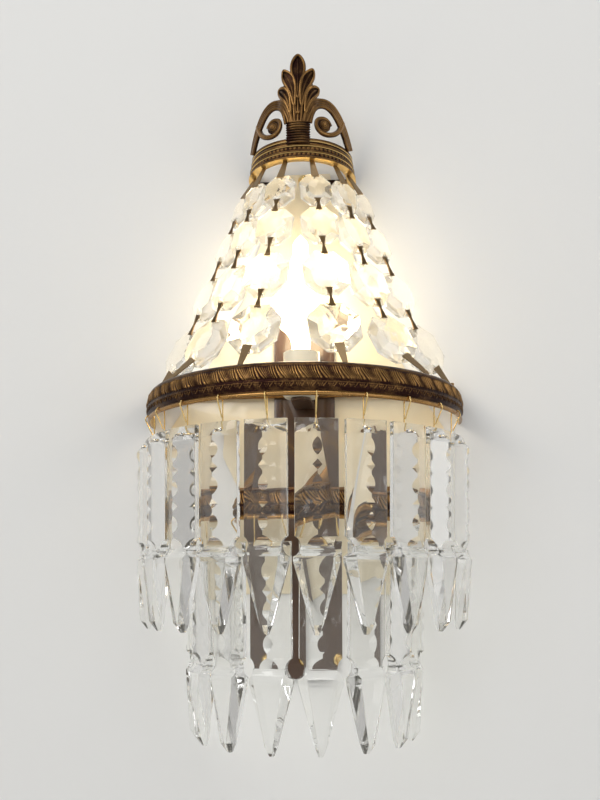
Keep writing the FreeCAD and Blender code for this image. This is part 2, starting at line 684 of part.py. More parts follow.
# Lamp holder: a turned body and the brass shell with its centre contact
def make_holder():
    body = new_body("holder_body")
    body.setExpression("Placement.Base.y", "-sizes.holder_reach")
    body.setExpression("Placement.Base.z", "sizes.arm_rise + sizes.arm_thickness")
    sketch = new_sketch(body, "holder_section", "XZ_Plane")
    out, tall, floor = "sizes.holder_radius", "sizes.holder_height", "sizes.holder_floor"
    inside = "sizes.shell_radius + sizes.shell_wall + sizes.fit_gap"
    draw_outline(sketch, [
        ("0", "0"), (out + " * 0.8", "0"), (out, tall + " * 0.1"), (out, tall + " * 0.6"),
        (out + " * 0.9", tall + " * 0.66"), (out + " * 0.9", tall), (inside, tall), (inside, floor),
        ("0", floor),
    ])
    spin(body, "holder_turned", sketch, 360)
    doc.recompute()
    bores = new_sketch(body, "lead_bores_outline", "XZ_Plane")
    height = "sizes.lead_rise - sizes.arm_rise - sizes.arm_thickness"
    draw_circles(bores, [
        (sign + "sizes.lead_spread", height, "sizes.lead_radius + sizes.small_gap") for sign in ("", "-")])
    before = body.Tip.Shape.Volume
    drill = body.newObject("PartDesign::Pocket", "lead_bores")
    drill.Profile = bores
    drill.Type = "ThroughAll"
    drill.Reversed = False
    doc.recompute()
    if not drill.Shape.Volume < before:
        raise RuntimeError("lead bores missed")

    contacts = new_body("holder_contacts")
    contacts.setExpression("Placement.Base.y", "-sizes.holder_reach")
    contacts.setExpression("Placement.Base.z", "sizes.arm_rise + sizes.arm_thickness + sizes.holder_floor")
    cup = new_sketch(contacts, "shell_section", "XZ_Plane")
    outer, wall = "sizes.shell_radius + sizes.shell_wall", "sizes.shell_wall"
    height = "sizes.holder_height - sizes.holder_floor - sizes.small_gap"
    draw_outline(cup, [
        ("0", "0"), (outer, "0"), (outer, height), ("sizes.shell_radius", height),
        ("sizes.shell_radius", wall), ("sizes.contact_radius", wall),
        ("sizes.contact_radius", "sizes.contact_height"), ("0", "sizes.contact_height"),
    ])
    spin(contacts, "shell_turned", cup, 360)


# Bulb: base, hollow candle envelope, stem with its filament
def make_bulb():
    base = size("arm_rise") + size("arm_thickness") + size("holder_floor") + size("contact_height")
    body = new_body("bulb_cap")
    body.setExpression("Placement.Base.y", "-sizes.holder_reach")
    body.setExpression("Placement.Base.z",
                       "sizes.arm_rise + sizes.arm_thickness + sizes.holder_floor + sizes.contact_height")
    sketch = new_sketch(body, "cap_section", "XZ_Plane")
    out, tall, wall = "sizes.cap_radius", "sizes.cap_height", "sizes.cap_wall"
    draw_outline(sketch, [
        ("0", "0"), ("sizes.contact_radius", "0"), (out, tall + " * 0.15"), (out, tall),
        ("%s - %s" % (out, wall), tall), ("%s - %s" % (out, wall), tall + " * 0.2"), ("0", tall + " * 0.2"),
    ])
    spin(body, "cap_turned", sketch, 360)

    radius, length = size("bulb_radius"), size("bulb_length")
    neck, wall = size("bulb_neck"), size("bulb_wall")
    start = base + size("cap_height") * 0.5

    def envelope(shrink):
        widths = [(neck, 0.0), (neck, 0.17), (radius * 0.94, 0.34), (radius, 0.45), (radius * 0.75, 0.66),
                  (radius * 0.3, 0.88)]
        places = [Vector(wide - shrink, 0, start + length * up) for wide, up in widths]
        floor = Vector(0, 0, start + shrink)
        places[0] = Vector(neck - shrink, 0, floor.z)
        tip = Vector(0, 0, start + length - shrink * 2)
        curve = Part.BSplineCurve()
        ends = {"InitialTangent": Vector(0, 0, 1), "FinalTangent": Vector(-1, 0, 1)}
        curve.interpolate(Points=places[1:] + [tip], **ends)
        edges = [Part.makeLine(floor, places[0]), Part.makeLine(places[0], places[1]), curve.toShape(),
                 Part.makeLine(tip, floor)]
        return Part.Face(Part.Wire(edges)).revolve(Vector(0, 0, 0), Vector(0, 0, 1), 360)

    glass = one_solid(envelope(0).cut(envelope(wall)))
    new_feature("bulb_glass", glass, Placement(Vector(0, -size("holder_reach"), 0), Rotation()))

    stem, span, thread = size("stem_radius"), size("filament_span"), size("filament_radius")
    low = start + wall
    post = Part.makeCone(stem, stem / 2, size("stem_height"), Vector(0, 0, low))
    height = low + size("stem_height")
    wires = [Part.makeCylinder(thread, size("stem_height") * 0.6, Vector(side * span / 2, 0, height))
             for side in (-1, 1)]
    bridge = Part.makeCylinder(thread, span, Vector(-span / 2, 0, height), Vector(1, 0, 0))
    coil = moved(Part.makeCylinder(thread * 1.5, span, Vector(-span / 2, 0, height), Vector(1, 0, 0)),
                 0, 0, size("stem_height") * 0.6)
    shape = post.fuse(wires + [bridge, coil]).removeSplitter()
    new_feature("bulb_filament", shape, Placement(Vector(0, -size("holder_reach"), 0), Rotation()))


# Terminal block on the bar and the two leads to the lamp holder
def make_wiring():
    front = -size("plate_thickness") - size("bar_thickness")
    half, deep, low = size("block_width") / 2, size("block_depth"), size("block_rise")
    block = box((-half, front - deep, low), (half, front, low + size("block_height")))
    spread, radius, bend = size("lead_spread"), size("lead_radius"), size("lead_bend")
    middle = front - deep / 2
    cuts = []
    for side in (-1, 1):
        place = Vector(side * spread, middle, low)
        cuts.append(Part.makeCylinder(radius + size("fit_gap"), size("block_height"), place))
        for share in (0.25, 0.75):
            place = Vector(side * spread, front - deep, low + size("block_height") * share)
            cuts.append(Part.makeCylinder(size("block_screw_bore"), deep / 2, place, Vector(0, 1, 0)))
    new_feature("terminal_block", one_solid(block.cut(cuts)))

    end = -size("holder_reach") + size("holder_radius") - size("holder_wall") + size("small_gap")
    height = size("lead_rise")
    leads = []
    for side in (-1, 1):
        x = side * spread
        corner = Vector(x, middle, height)
        swing = bend * math.sqrt(0.5)
        arc = Part.Arc(corner + Vector(0, 0, bend), corner + Vector(0, swing - bend, bend - swing),
                       corner + Vector(0, -bend, 0))
        inside = Vector(x, middle, low + size("block_height") * 0.4)
        edges = [Part.makeLine(inside, corner + Vector(0, 0, bend)), arc.toShape(),
                 Part.makeLine(corner + Vector(0, -bend, 0), Vector(x, end, height))]
        leads.append(wire_tube(edges, radius))
    new_feature("lead_wires", Part.makeCompound(leads))


def octagon(width, length, up):
    """Eight corners of a long octagon in the plane z = up: width along X, length along Y."""
    corner = min(width, length) * (1 - math.sqrt(0.5))
    half, end = width / 2, length / 2
    return [Vector(x, y, up) for x, y in (
        (half, end - corner), (half - corner, end), (corner - half, end), (-half, end - corner),
        (-half, corner - end), (corner - half, -end), (half - corner, -end), (half, corner - end))]


def crystal(width, length):
    """A faceted octagon with a hole near each end; its length along Y, its face towards +Z."""
    rim, deep = size("girdle_thickness") / 2, width * 0.16
    shape = None
    layers = ((-deep, -rim, TABLE_SHARE, 1), (-rim, rim, 1, 1), (rim, deep, 1, TABLE_SHARE))
    for low, high, low_share, high_share in layers:
        rings = (octagon(width * low_share, length * low_share, low),
                 octagon(width * high_share, length * high_share, high))
        slab = Part.makeLoft([Part.makePolygon(ring + ring[:1]) for ring in rings], True, True)
        shape = slab if shape is None else shape.fuse(slab)
    shape = shape.removeSplitter()
    reach = length / 2 - size("crystal_hole_inset")
    holes = [Part.makeCylinder(size("crystal_hole_radius"), deep * 4, Vector(0, side * reach, -deep * 2))
             for side in (-1, 1)]
    return one_solid(shape.cut(holes))


def strand_ends(index):
    """Top and foot of one strand, counted from the left: on the crown's rim and on the upper ring's rim."""
    step = index - 2.5
    side = 1 if step > 0 else -1
    top_angle = math.radians(size("strand_top_angle") * step)
    foot_angle = math.radians(size("foot_%s_angle" % strand_name(index))) * side
    rim = size("crown_radius") - size("crown_rim") + size("rim_hole_radius") * 1.5
    band = ring_radius("upper_ring") - size("band_shoulder") - size("rim_width") / 2
    top = Vector(rim * math.sin(top_angle), -size("crown_offset") - rim * math.cos(top_angle),
                 size("crown_bottom"))
    foot = Vector(band * math.sin(foot_angle), -size("upper_ring_offset") - band * math.cos(foot_angle),
                  size("upper_ring_height"))
    return top, foot


def strand_name(index):
    """Which strand this is, counted from the left."""
    return {0.5: "inner", 1.5: "middle", 2.5: "outer"}[abs(index - 2.5)]


def strand_point(index, share):
    """A point on a strand, a share of the way down; it hangs inwards, most of all near its foot."""
    top, foot = strand_ends(index)
    level = Vector(foot.x - top.x, foot.y - top.y, 0).normalize()
    hang = share ** 1.2 * (1 - share) ** 0.5 * 2.8
    return top + (foot - top) * share - level * (size(strand_name(index) + "_sag") * hang)


def strand_frame(index, share):
    """Placement of a crystal on a strand: its face outwards, its length along the strand."""
    step = 0.02
    down = (strand_point(index, share + step) - strand_point(index, share - step)).normalize()
    side = 1 if index > 2 else -1
    start = size("strand_top_angle") * (index - 2.5)
    finish = size("foot_%s_angle" % strand_name(index)) * side
    facing = STRAND_FACING_SHARES[strand_name(index)] * (1 - STRAND_TURN_SHARE * share)
    turn = math.radians((start + (finish - start) * share) * facing)
    across = Vector(math.cos(turn), math.sin(turn), 0)
    across = (across - down * across.dot(down)).normalize()
    face = across.cross(-down).normalize()
    matrix = FreeCAD.Matrix(
        across.x, -down.x, face.x, 0, across.y, -down.y, face.y, 0, across.z, -down.z, face.z, 0, 0, 0, 0, 1)
    return Placement(strand_point(index, share), Placement(matrix).Rotation)


def link(start, finish, face, start_width, finish_width, depth, start_way, finish_way):
    """A flat strip from start to finish in front of the crystals, with pegs along the ways given."""
    thick, radius = size("link_thickness"), size("pin_radius")
    along = (finish - start).normalize()
    across = along.cross(face).normalize()
    end = radius * 2
    low, high = start - along * end, finish + along * end
    corners = [low + across * start_width / 2, high + across * finish_width / 2,
               high - across * finish_width / 2, low - across * start_width / 2]
    strip = face_of(corners).extrude(face * thick)
    pegs = []
    for place, way in ((start, start_way), (finish, finish_way)):
        if way:
            pegs.append(Part.makeCylinder(radius, depth + thick / 2, place + way * (thick / 2), -way))
    return one_solid(strip.fuse(pegs).removeSplitter()) if pegs else strip


def rivet(place, through, up):
    """A rivet through a rim from the strip's end: up is 1 for a head above the rim and -1 for one below."""
    radius, head, thin = size("rivet_radius"), size("rivet_head"), size("link_thickness")
    low = -size("small_gap") - thin
    shank = Part.makeCylinder(radius, through + thin - low, place + Vector(0, 0, low * up), Vector(0, 0, up))
    cap = Part.makeCylinder(head, thin, place + Vector(0, 0, through * up), Vector(0, 0, up))
    return shank.fuse(cap)


# Strands: crystals row by row, their hooks, pins and feet
def make_strands():
    rows = ("first", "second", "third", "fourth")
    frames = {}
    for row, share in zip(rows, CRYSTAL_PLACE_SHARES):
        shape = crystal(size(row + "_width"), size(row + "_length"))
        group = []
        for index in range(6):
            frames[(row, index)] = strand_frame(index, share)
            piece = shape.copy()
            piece.Placement = frames[(row, index)]
            group.append(piece)
        new_feature("octagons_%s_row" % row, Part.makeCompound(group))

    def hole(row, index, end):
        """Front mouth of a crystal's hole: end is 1 for the upper one and -1 for the lower one."""
        frame = frames[(row, index)]
        reach = size(row + "_length") / 2 - size("crystal_hole_inset")
        lift = size("girdle_thickness") / 2 + size("crystal_hole_inset") * LINK_LIFT_SHARE
        return frame.multVec(Vector(0, end * reach, lift)), frame.Rotation.multVec(Vector(0, 0, 1))

    pins, hooks, feet = [], [], []
    narrow = size("link_width")
    peg = size("girdle_thickness") + size("crystal_hole_inset") * 2 * LINK_LIFT_SHARE
    for index in range(6):
        for upper, lower in zip(rows[:-1], rows[1:]):
            start, front = hole(upper, index, -1)
            finish, back = hole(lower, index, 1)
            face = ((front + back) / 2)
            along = (finish - start).normalize()
            face = (face - along * face.dot(along)).normalize()
            pins.append(link(start, finish, face, narrow, narrow, peg, front, back))
        mouth, front = hole("first", index, 1)
        top, foot = strand_ends(index)
        pin = rivet(top, size("crown_wall"), 1)
        top = top - Vector(0, 0, size("link_thickness") + size("small_gap"))
        along = (mouth - top).normalize()
        face = (front - along * front.dot(along)).normalize()
        strip = link(top, mouth, face, narrow * 0.64, narrow * 1.12, peg, None, front)
        hooks.append(one_solid(strip.fuse(pin)))
        mouth, front = hole("fourth", index, -1)
        pin = rivet(foot, size("band_wall"), -1)
        foot = foot + Vector(0, 0, size("link_thickness") + size("small_gap"))
        along = (foot - mouth).normalize()
        face = (front - along * front.dot(along)).normalize()
        strip = link(mouth, foot, face, narrow * 1.28, narrow * 0.64, peg, front, None)
        feet.append(one_solid(strip.fuse(pin)))
    new_feature("strand_pins", Part.makeCompound(pins))
    new_feature("strand_hooks", Part.makeCompound(hooks))
    new_feature("strand_feet", Part.makeCompound(feet))


def shoulder_width():
    """Width of a spear's shoulder: neighbours on the lower ring nearly touch there."""
    circle = ring_radius("lower_ring") - size("prism_inset")
    return 2 * circle * math.sin(math.radians(size("lower_prism_angle") / 2)) - size("prism_gap")


def prism_section(width, up, share):
    """Cross-section of a prism, flat at the back, at z = up; its ridge at a share of the full depth."""
    half, edge, deep = width / 2, size("prism_edge"), size("prism_depth") * share
    points = [Vector(-half, 0, up), Vector(half, 0, up), Vector(half, edge, up), Vector(0, deep, up),
              Vector(-half, edge, up)]
    return Part.makePolygon(points + points[:1])


def spear_section(width, panel, low, rim, high, up):
    """Cross-section of the spear: a flat back, low rims, a flat panel in front; at z = up."""
    points = [Vector(-width / 2, low, up), Vector(width / 2, low, up), Vector(width / 2, rim, up),
              Vector(panel / 2, high, up), Vector(-panel / 2, high, up), Vector(-width / 2, rim, up)]
    return Part.makePolygon(points + points[:1])


def prism_shape():
    """A notched spear prism: back on y = 0, ridge towards +Y, its top on z = 0, hanging down."""
    shoulder, length = shoulder_width(), size("prism_length")
    width = shoulder - size("shoulder_lip") * 2
    bevel, waist, low = size("prism_bevel"), size("prism_waist_drop"), size("prism_shoulder_drop")
    deep, over = size("prism_depth"), size("cut_overrun")
    top = Part.makeLoft([prism_section(width, -bevel, 1), prism_section(width, 0, BEVEL_SHARE)], True, True)
    shaft = Part.makeLoft([prism_section(width, -waist, 1), prism_section(width, -bevel, 1)], True, True)
    panel, thick, rim = size("spear_panel"), size("spear_depth"), size("prism_edge")
    end, tip, slant = size("spear_end_width"), size("spear_tip_width"), size("spear_bevel")
    full = spear_section(shoulder, panel, 0, rim, thick, -low)
    narrow = spear_section(end, end * panel / shoulder, thick * 0.04, thick * 0.4, thick * 0.84,
                           slant - length)
    last = spear_section(tip, tip * panel / shoulder, thick * 0.15, thick * 0.25, thick * 0.38, -length)
    collar = Part.makeLoft([full, spear_section(shoulder, panel, 0, rim, thick, -waist)], True, True)
    spear = Part.makeLoft([narrow, full], True, True)
    nib = Part.makeLoft([last, narrow], True, True)
    shape = shaft.fuse([top, collar, spear, nib]).removeSplitter()
    cuts = []
    notch = size("waist_notch_radius")
    for side in (-1, 1):
        centre = width / 2 - size("waist_notch_bite") + notch
        place = Vector(side * centre, -over, -waist)
        cuts.append(Part.makeCylinder(notch, deep + over * 2, place, Vector(0, 1, 0)))
    bite = size("ridge_cut_depth")
    oval, diamond, pitch = size("ridge_oval_length"), size("ridge_diamond_length"), size("ridge_pitch")
    round_radius = (oval ** 2 / 4 + bite ** 2) / (2 * bite)
    for index in range(RIDGE_OVALS):
        height = -size("ridge_start") - pitch * index
        place = Vector(-width / 2, deep - bite + round_radius, height)
        cuts.append(Part.makeCylinder(round_radius, width, place, Vector(1, 0, 0)))
        if index < RIDGE_OVALS - 1:
            height -= pitch / 2
            corners = [Vector(-width / 2, deep - bite, height),
                       Vector(-width / 2, deep + bite, height + diamond),
                       Vector(-width / 2, deep + bite, height - diamond)]
            cuts.append(face_of(corners).extrude(Vector(width, 0, 0)))
    saddle = notch + bite
    place = Vector(-width / 2, deep - bite * 2 + saddle, -waist)
    cuts.append(Part.makeCylinder(saddle, width, place, Vector(1, 0, 0)))
    cuts.append(Part.makeCylinder(size("prism_hole_radius"), deep + over * 2,
                                  Vector(0, -over, -size("prism_hole_drop")), Vector(0, 1, 0)))
    return one_solid(shape.cut(cuts))


def hook_shape():
    """A wire hook in the plane x = 0: its loop goes through the band, its leg ends in the prism."""
    radius, bend = size("hook_loop_radius"), size("hook_bend")
    centre = Vector(0, 0, -radius)
    depth = size("hook_hole_rise") + size("prism_drop") + size("prism_hole_drop")

    def on_loop(degrees):
        angle = math.radians(degrees)
        return centre + Vector(0, radius * math.cos(angle), radius * math.sin(angle))

    open_angle = size("hook_open_angle")
    loop = Part.Arc(on_loop(-open_angle), on_loop(90 - open_angle), on_loop(180))
    slant = math.radians(open_angle)
    side_leg = (radius * math.cos(slant) + radius - size("hook_leg_gap")) / math.sin(slant)
    free_end = on_loop(-open_angle) - Vector(0, side_leg * math.sin(slant), side_leg * math.cos(slant))
    foot = Vector(0, -radius, bend - depth)
    swing = bend * math.sqrt(0.5)
    turn = Part.Arc(foot, foot + Vector(0, bend - swing, -swing), foot + Vector(0, bend, -bend))
    end = foot + Vector(0, bend + size("hook_end_reach"), -bend)
    edges = [Part.makeLine(free_end, on_loop(-open_angle)), loop.toShape(),
             Part.makeLine(on_loop(180), foot), turn.toShape(),
             Part.makeLine(foot + Vector(0, bend, -bend), end)]
    return wire_tube(edges, size("hook_wire_radius"))


# Two tiers of prisms, each with its hook, turned so that the weight hangs straight down
def make_drops():
    prism, hook = prism_shape(), hook_shape()
    back = -size("prism_back_gap")
    top = -size("hook_hole_rise") - size("prism_drop")
    prism = moved(prism, 0, back, top)
    glass, brass = prism.Volume * GLASS_DENSITY_SHARE, hook.Volume
    centre = (prism.CenterOfMass * glass + hook.CenterOfMass * brass) / (glass + brass)
    lean = math.degrees(math.atan2(centre.y, -centre.z))
    print("prism lean in degrees %.2f, weight at %s" % (lean, centre))
    tiers = (("upper", UPPER_PRISMS, "upper_prism_angle", "upper_ring", 0),
             ("lower", LOWER_PRISMS, "lower_prism_angle", "lower_ring", size("lower_ring_drop")))
    for tier, count, angle, ring, drop in tiers:
        circle = ring_radius(ring) - size("band_bulge") - size("band_wall") / 2
        for index in range(count):
            azimuth = (index - (count - 1) / 2) * size(angle)
            turn = math.radians(azimuth)
            place = Vector(circle * math.sin(turn), -size(ring + "_offset") - circle * math.cos(turn),
                           size("hook_hole_rise") - drop)
            rotation = Rotation(Vector(0, 0, 1), 180 + azimuth).multiply(Rotation(Vector(1, 0, 0), -lean))
            placement = Placement(place, rotation)
            new_feature("%s_prism_%02d" % (tier, index + 1), prism, placement)
            new_feature("%s_hook_%02d" % (tier, index + 1), hook, placement)


make_reflector_plate()
make_centre_bar()
make_ring("upper_ring", "upper_ring", "0", UPPER_PRISMS, "upper_prism_angle",
          "sizes.upper_ring_offset", feet=True)
make_ring("lower_ring", "lower_ring", "-sizes.lower_ring_drop", LOWER_PRISMS, "lower_prism_angle",
          "sizes.lower_ring_offset - sizes.plate_thickness", feet=False)
make_crown_band()
make_crown_cresting()
make_screws()
make_lamp_arm()
make_holder()
make_bulb()
make_wiring()
make_strands()
make_drops()
doc.recompute()

failed = [item.Name for item in doc.Objects if "Invalid" in item.State or "Error" in item.State]
if failed:
    raise RuntimeError("failed objects: %s" % failed)

os.makedirs("parts", exist_ok=True)
for item in doc.Objects:
    if item.TypeId not in ("PartDesign::Body", "Part::Feature") or item.getParentGeoFeatureGroup():
        continue
    if item.Shape.isNull() or not item.Shape.isValid() or item.Shape.Volume <= 0:
        raise RuntimeError("bad shape: " + item.Label)
    item.Shape.exportStep("parts/%s.step" % item.Label)
    print("%-24s solids %d volume %.0f" % (item.Label, len(item.Shape.Solids), item.Shape.Volume))
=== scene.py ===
"""Crystal wall lamp: embossed rings, crown, cut crystals and brass fittings, dressed for the picture."""
from __future__ import annotations

import json
import logging
import math
from dataclasses import dataclass, field
from enum import Enum

import bmesh
import bpy
from mathutils import Matrix, Vector

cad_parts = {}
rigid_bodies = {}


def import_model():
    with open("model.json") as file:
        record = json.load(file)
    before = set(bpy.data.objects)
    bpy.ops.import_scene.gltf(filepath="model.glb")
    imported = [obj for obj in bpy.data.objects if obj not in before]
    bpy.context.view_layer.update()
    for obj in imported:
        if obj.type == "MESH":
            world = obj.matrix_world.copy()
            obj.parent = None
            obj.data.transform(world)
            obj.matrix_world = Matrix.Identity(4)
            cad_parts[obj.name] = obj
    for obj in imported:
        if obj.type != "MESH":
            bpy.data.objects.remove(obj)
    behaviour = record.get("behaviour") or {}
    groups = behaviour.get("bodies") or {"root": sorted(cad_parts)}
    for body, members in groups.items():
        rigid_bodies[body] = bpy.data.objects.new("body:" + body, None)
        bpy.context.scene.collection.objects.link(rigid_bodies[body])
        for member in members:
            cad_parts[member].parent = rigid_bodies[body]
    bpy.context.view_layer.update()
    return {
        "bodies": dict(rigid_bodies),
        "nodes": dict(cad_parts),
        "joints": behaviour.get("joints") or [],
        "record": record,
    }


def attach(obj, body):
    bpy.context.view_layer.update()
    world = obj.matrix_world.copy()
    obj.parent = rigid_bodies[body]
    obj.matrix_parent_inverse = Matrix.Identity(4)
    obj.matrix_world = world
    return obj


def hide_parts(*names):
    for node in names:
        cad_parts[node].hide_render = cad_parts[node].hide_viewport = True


MM = 0.001
SKIN_DEPTH = 0.0001  # depth in metres of the fine marks on metal, paint and resin
MERGE_DISTANCE = 2e-6  # distance in metres within which a CAD mesh's points are one
FLAT_ANGLE = 1.2  # angle in degrees up to which its neighbouring triangles are one face
LOG = logging.getLogger("wall_lamp")


class Side(Enum):
    """The two sides of the lamp, as signs along X."""

    LEFT = -1
    RIGHT = 1


# Materials
class NodeTree:
    """A material's or group's nodes, with short ways to add and join them."""

    def __init__(self, tree: bpy.types.NodeTree) -> None:
        """Keep the tree that the nodes go into."""
        self.tree = tree

    def add(self, kind: str, values: dict | None = None, **settings: object) -> bpy.types.Node:
        """Add a node.

        Args:
            kind: the node's type.
            values: socket values by name or number.
            settings: the node's own properties.

        Returns:
            The new node.
        """
        node = self.tree.nodes.new(kind)
        for key, value in settings.items():
            setattr(node, key, value)
        for key, value in (values or {}).items():
            node.inputs[key].default_value = value
        return node

    def join(self, source: bpy.types.NodeSocket, target: bpy.types.NodeSocket) -> None:
        """Link an output to an input."""
        self.tree.links.new(source, target)

    def math(self, operation: str, first: object, second: object,
             clamp: bool = False) -> bpy.types.NodeSocket:
        """Combine two values, each a number or an output.

        Args:
            operation: the sum that the node does.
            first: a number or an output.
            second: a number or an output.
            clamp: whether the result stays between 0 and 1.

        Returns:
            The result's output.
        """
        node = self.add("ShaderNodeMath", operation=operation, use_clamp=clamp)
        for index, value in enumerate((first, second)):
            if isinstance(value, bpy.types.NodeSocket):
                self.join(value, node.inputs[index])
            else:
                node.inputs[index].default_value = value
        return node.outputs[0]

    def mix(self, mask: bpy.types.NodeSocket, low: tuple, high: tuple) -> bpy.types.NodeSocket:
        """Blend two colours by a mask.

        Args:
            mask: the output that runs from 0 to 1.
            low: colour at 0.
            high: colour at 1.

        Returns:
            The blended colour's output.
        """
        node = self.add("ShaderNodeMix", data_type="RGBA")
        self.join(mask, node.inputs[0])
        node.inputs[6].default_value = (*low, 1.0)
        node.inputs[7].default_value = (*high, 1.0)
        return node.outputs[2]

    def span(self, value: bpy.types.NodeSocket, low: float, high: float) -> bpy.types.NodeSocket:
        """Spread a 0 to 1 value between two numbers.

        Args:
            value: the output that runs from 0 to 1.
            low: the number at 0.
            high: the number at 1.

        Returns:
            The spread value's output.
        """
        node = self.add("ShaderNodeMapRange", {3: low, 4: high})
        self.join(value, node.inputs[0])
        return node.outputs[0]


def new_group(name: str, inputs: tuple, outputs: tuple) -> tuple:
    """Make an empty shader node group.

    Args:
        name: the group's name.
        inputs: (name, socket type, value) for each input.
        outputs: names of the float outputs.

    Returns:
        The group, its tree helper, its input node and its output node.
    """
    group = bpy.data.node_groups.new(name, "ShaderNodeTree")
    for label, kind, value in inputs:
        socket = group.interface.new_socket(name=label, in_out="INPUT", socket_type=kind)
        if value is not None:
            socket.default_value = value
    for label in outputs:
        group.interface.new_socket(name=label, in_out="OUTPUT", socket_type="NodeSocketFloat")
    tree = NodeTree(group)
    return group, tree, tree.add("NodeGroupInput"), tree.add("NodeGroupOutput")


@dataclass
class Effects:
    """The surface effects that several finishes share."""

    # the tarnish group also carries each piece's painted highlight and painted shade, through its Relief
    # input
    tarnish: bpy.types.NodeTree = field(init=False)
    grain: bpy.types.NodeTree = field(init=False)

    def __post_init__(self) -> None:
        """Build each effect once."""
        self.tarnish = self.make_tarnish()
        self.grain = self.make_grain()

    def make_tarnish(self) -> bpy.types.NodeTree:
        """Make the gold mask: the stored share of gold, which holds painted highlight and shade as well as
        rubbed wear, swayed by noise for tarnish, and a fine height.

        Returns:
            The group.
        """
        inputs = (("Vector", "NodeSocketVector", None), ("Scale", "NodeSocketFloat", 90.0),
                  ("Relief", "NodeSocketFloat", 0.5), ("Spread", "NodeSocketFloat", 0.6))
        group, tree, start, end = new_group("tarnish_over_painted_sheen", inputs, ("Mask", "Height"))
        broad = tree.add("ShaderNodeTexNoise", {"Detail": 5.0, "Roughness": 0.6})
        tree.join(start.outputs["Vector"], broad.inputs["Vector"])
        tree.join(start.outputs["Scale"], broad.inputs["Scale"])
        fine = tree.add("ShaderNodeTexNoise", {"Detail": 3.0, "Roughness": 0.6})
        tree.join(start.outputs["Vector"], fine.inputs["Vector"])
        tree.join(tree.math("MULTIPLY", start.outputs["Scale"], 9.0), fine.inputs["Scale"])
        swing = tree.math("SUBTRACT", broad.outputs["Fac"], 0.5)
        sway = tree.math("MULTIPLY", swing, start.outputs["Spread"])
        grit = tree.math("MULTIPLY", tree.math("SUBTRACT", fine.outputs["Fac"], 0.5), 0.35)
        total = tree.math("ADD", tree.math("ADD", start.outputs["Relief"], sway), grit, clamp=True)
        tree.join(total, end.inputs["Mask"])
        tree.join(tree.math("ADD", fine.outputs["Fac"], tree.math("MULTIPLY", broad.outputs["Fac"], 0.5)),
                  end.inputs["Height"])
        return group

    def make_grain(self) -> bpy.types.NodeTree:
        """Make fine marks stretched along one direction, for brushed, drawn or moulded surfaces.

        Returns:
            The group.
        """
        inputs = (("Vector", "NodeSocketVector", None), ("Scale", "NodeSocketFloat", 300.0),
                  ("Stretch", "NodeSocketVector", (1.0, 1.0, 1.0)))
        group, tree, start, end = new_group("fine_grain", inputs, ("Value", "Height"))
        turn = tree.add("ShaderNodeVectorMath", operation="MULTIPLY")
        tree.join(start.outputs["Vector"], turn.inputs[0])
        tree.join(start.outputs["Stretch"], turn.inputs[1])
        marks = tree.add("ShaderNodeTexNoise", {"Detail": 4.0, "Roughness": 0.65})
        tree.join(turn.outputs[0], marks.inputs["Vector"])
        tree.join(start.outputs["Scale"], marks.inputs["Scale"])
        clouds = tree.add("ShaderNodeTexNoise", {"Detail": 3.0})
        tree.join(start.outputs["Vector"], clouds.inputs["Vector"])
        tree.join(tree.math("MULTIPLY", start.outputs["Scale"], 0.12), clouds.inputs["Scale"])
        both = tree.math("ADD", tree.math("MULTIPLY", marks.outputs["Fac"], 0.5),
                         tree.math("MULTIPLY", clouds.outputs["Fac"], 0.5), clamp=True)
        tree.join(both, end.inputs["Value"])
        tree.join(marks.outputs["Fac"], end.inputs["Height"])
        return group


def start_material(name: str) -> tuple:
    """Make a material.

    Args:
        name: the material's name.

    Returns:
        The material, its tree helper, its surface shader and its object coordinates.
    """
    material = bpy.data.materials.new(name)
    material.use_nodes = True
    tree = NodeTree(material.node_tree)
    surface = material.node_tree.nodes["Principled BSDF"]
    place = tree.add("ShaderNodeTexCoord").outputs["Object"]
    return material, tree, surface, place


def use_group(tree: NodeTree, group: bpy.types.NodeTree, place: bpy.types.NodeSocket,
              values: dict) -> bpy.types.Node:
    """Put a shared effect into a material.

    Args:
        tree: the material's tree.
        group: the effect.
        place: the coordinates that it reads.
        values: its socket values.

    Returns:
        The group's node.
    """
    node = tree.add("ShaderNodeGroup", node_tree=group)
    tree.join(place, node.inputs["Vector"])
    for key, value in values.items():
        node.inputs[key].default_value = value
    return node


def add_bump(tree: NodeTree, surface: bpy.types.Node, height: bpy.types.NodeSocket, strength: float,
             distance: float) -> None:
    """Give a surface its fine relief.

    Args:
        tree: the material's tree.
        surface: its shader.
        height: the output that holds the relief.
        strength: how much of the relief shows.
        distance: depth of the relief in metres.
    """
    bump = tree.add("ShaderNodeBump", {"Strength": strength, "Distance": distance})
    tree.join(height, bump.inputs["Height"])
    tree.join(bump.outputs["Normal"], surface.inputs["Normal"])


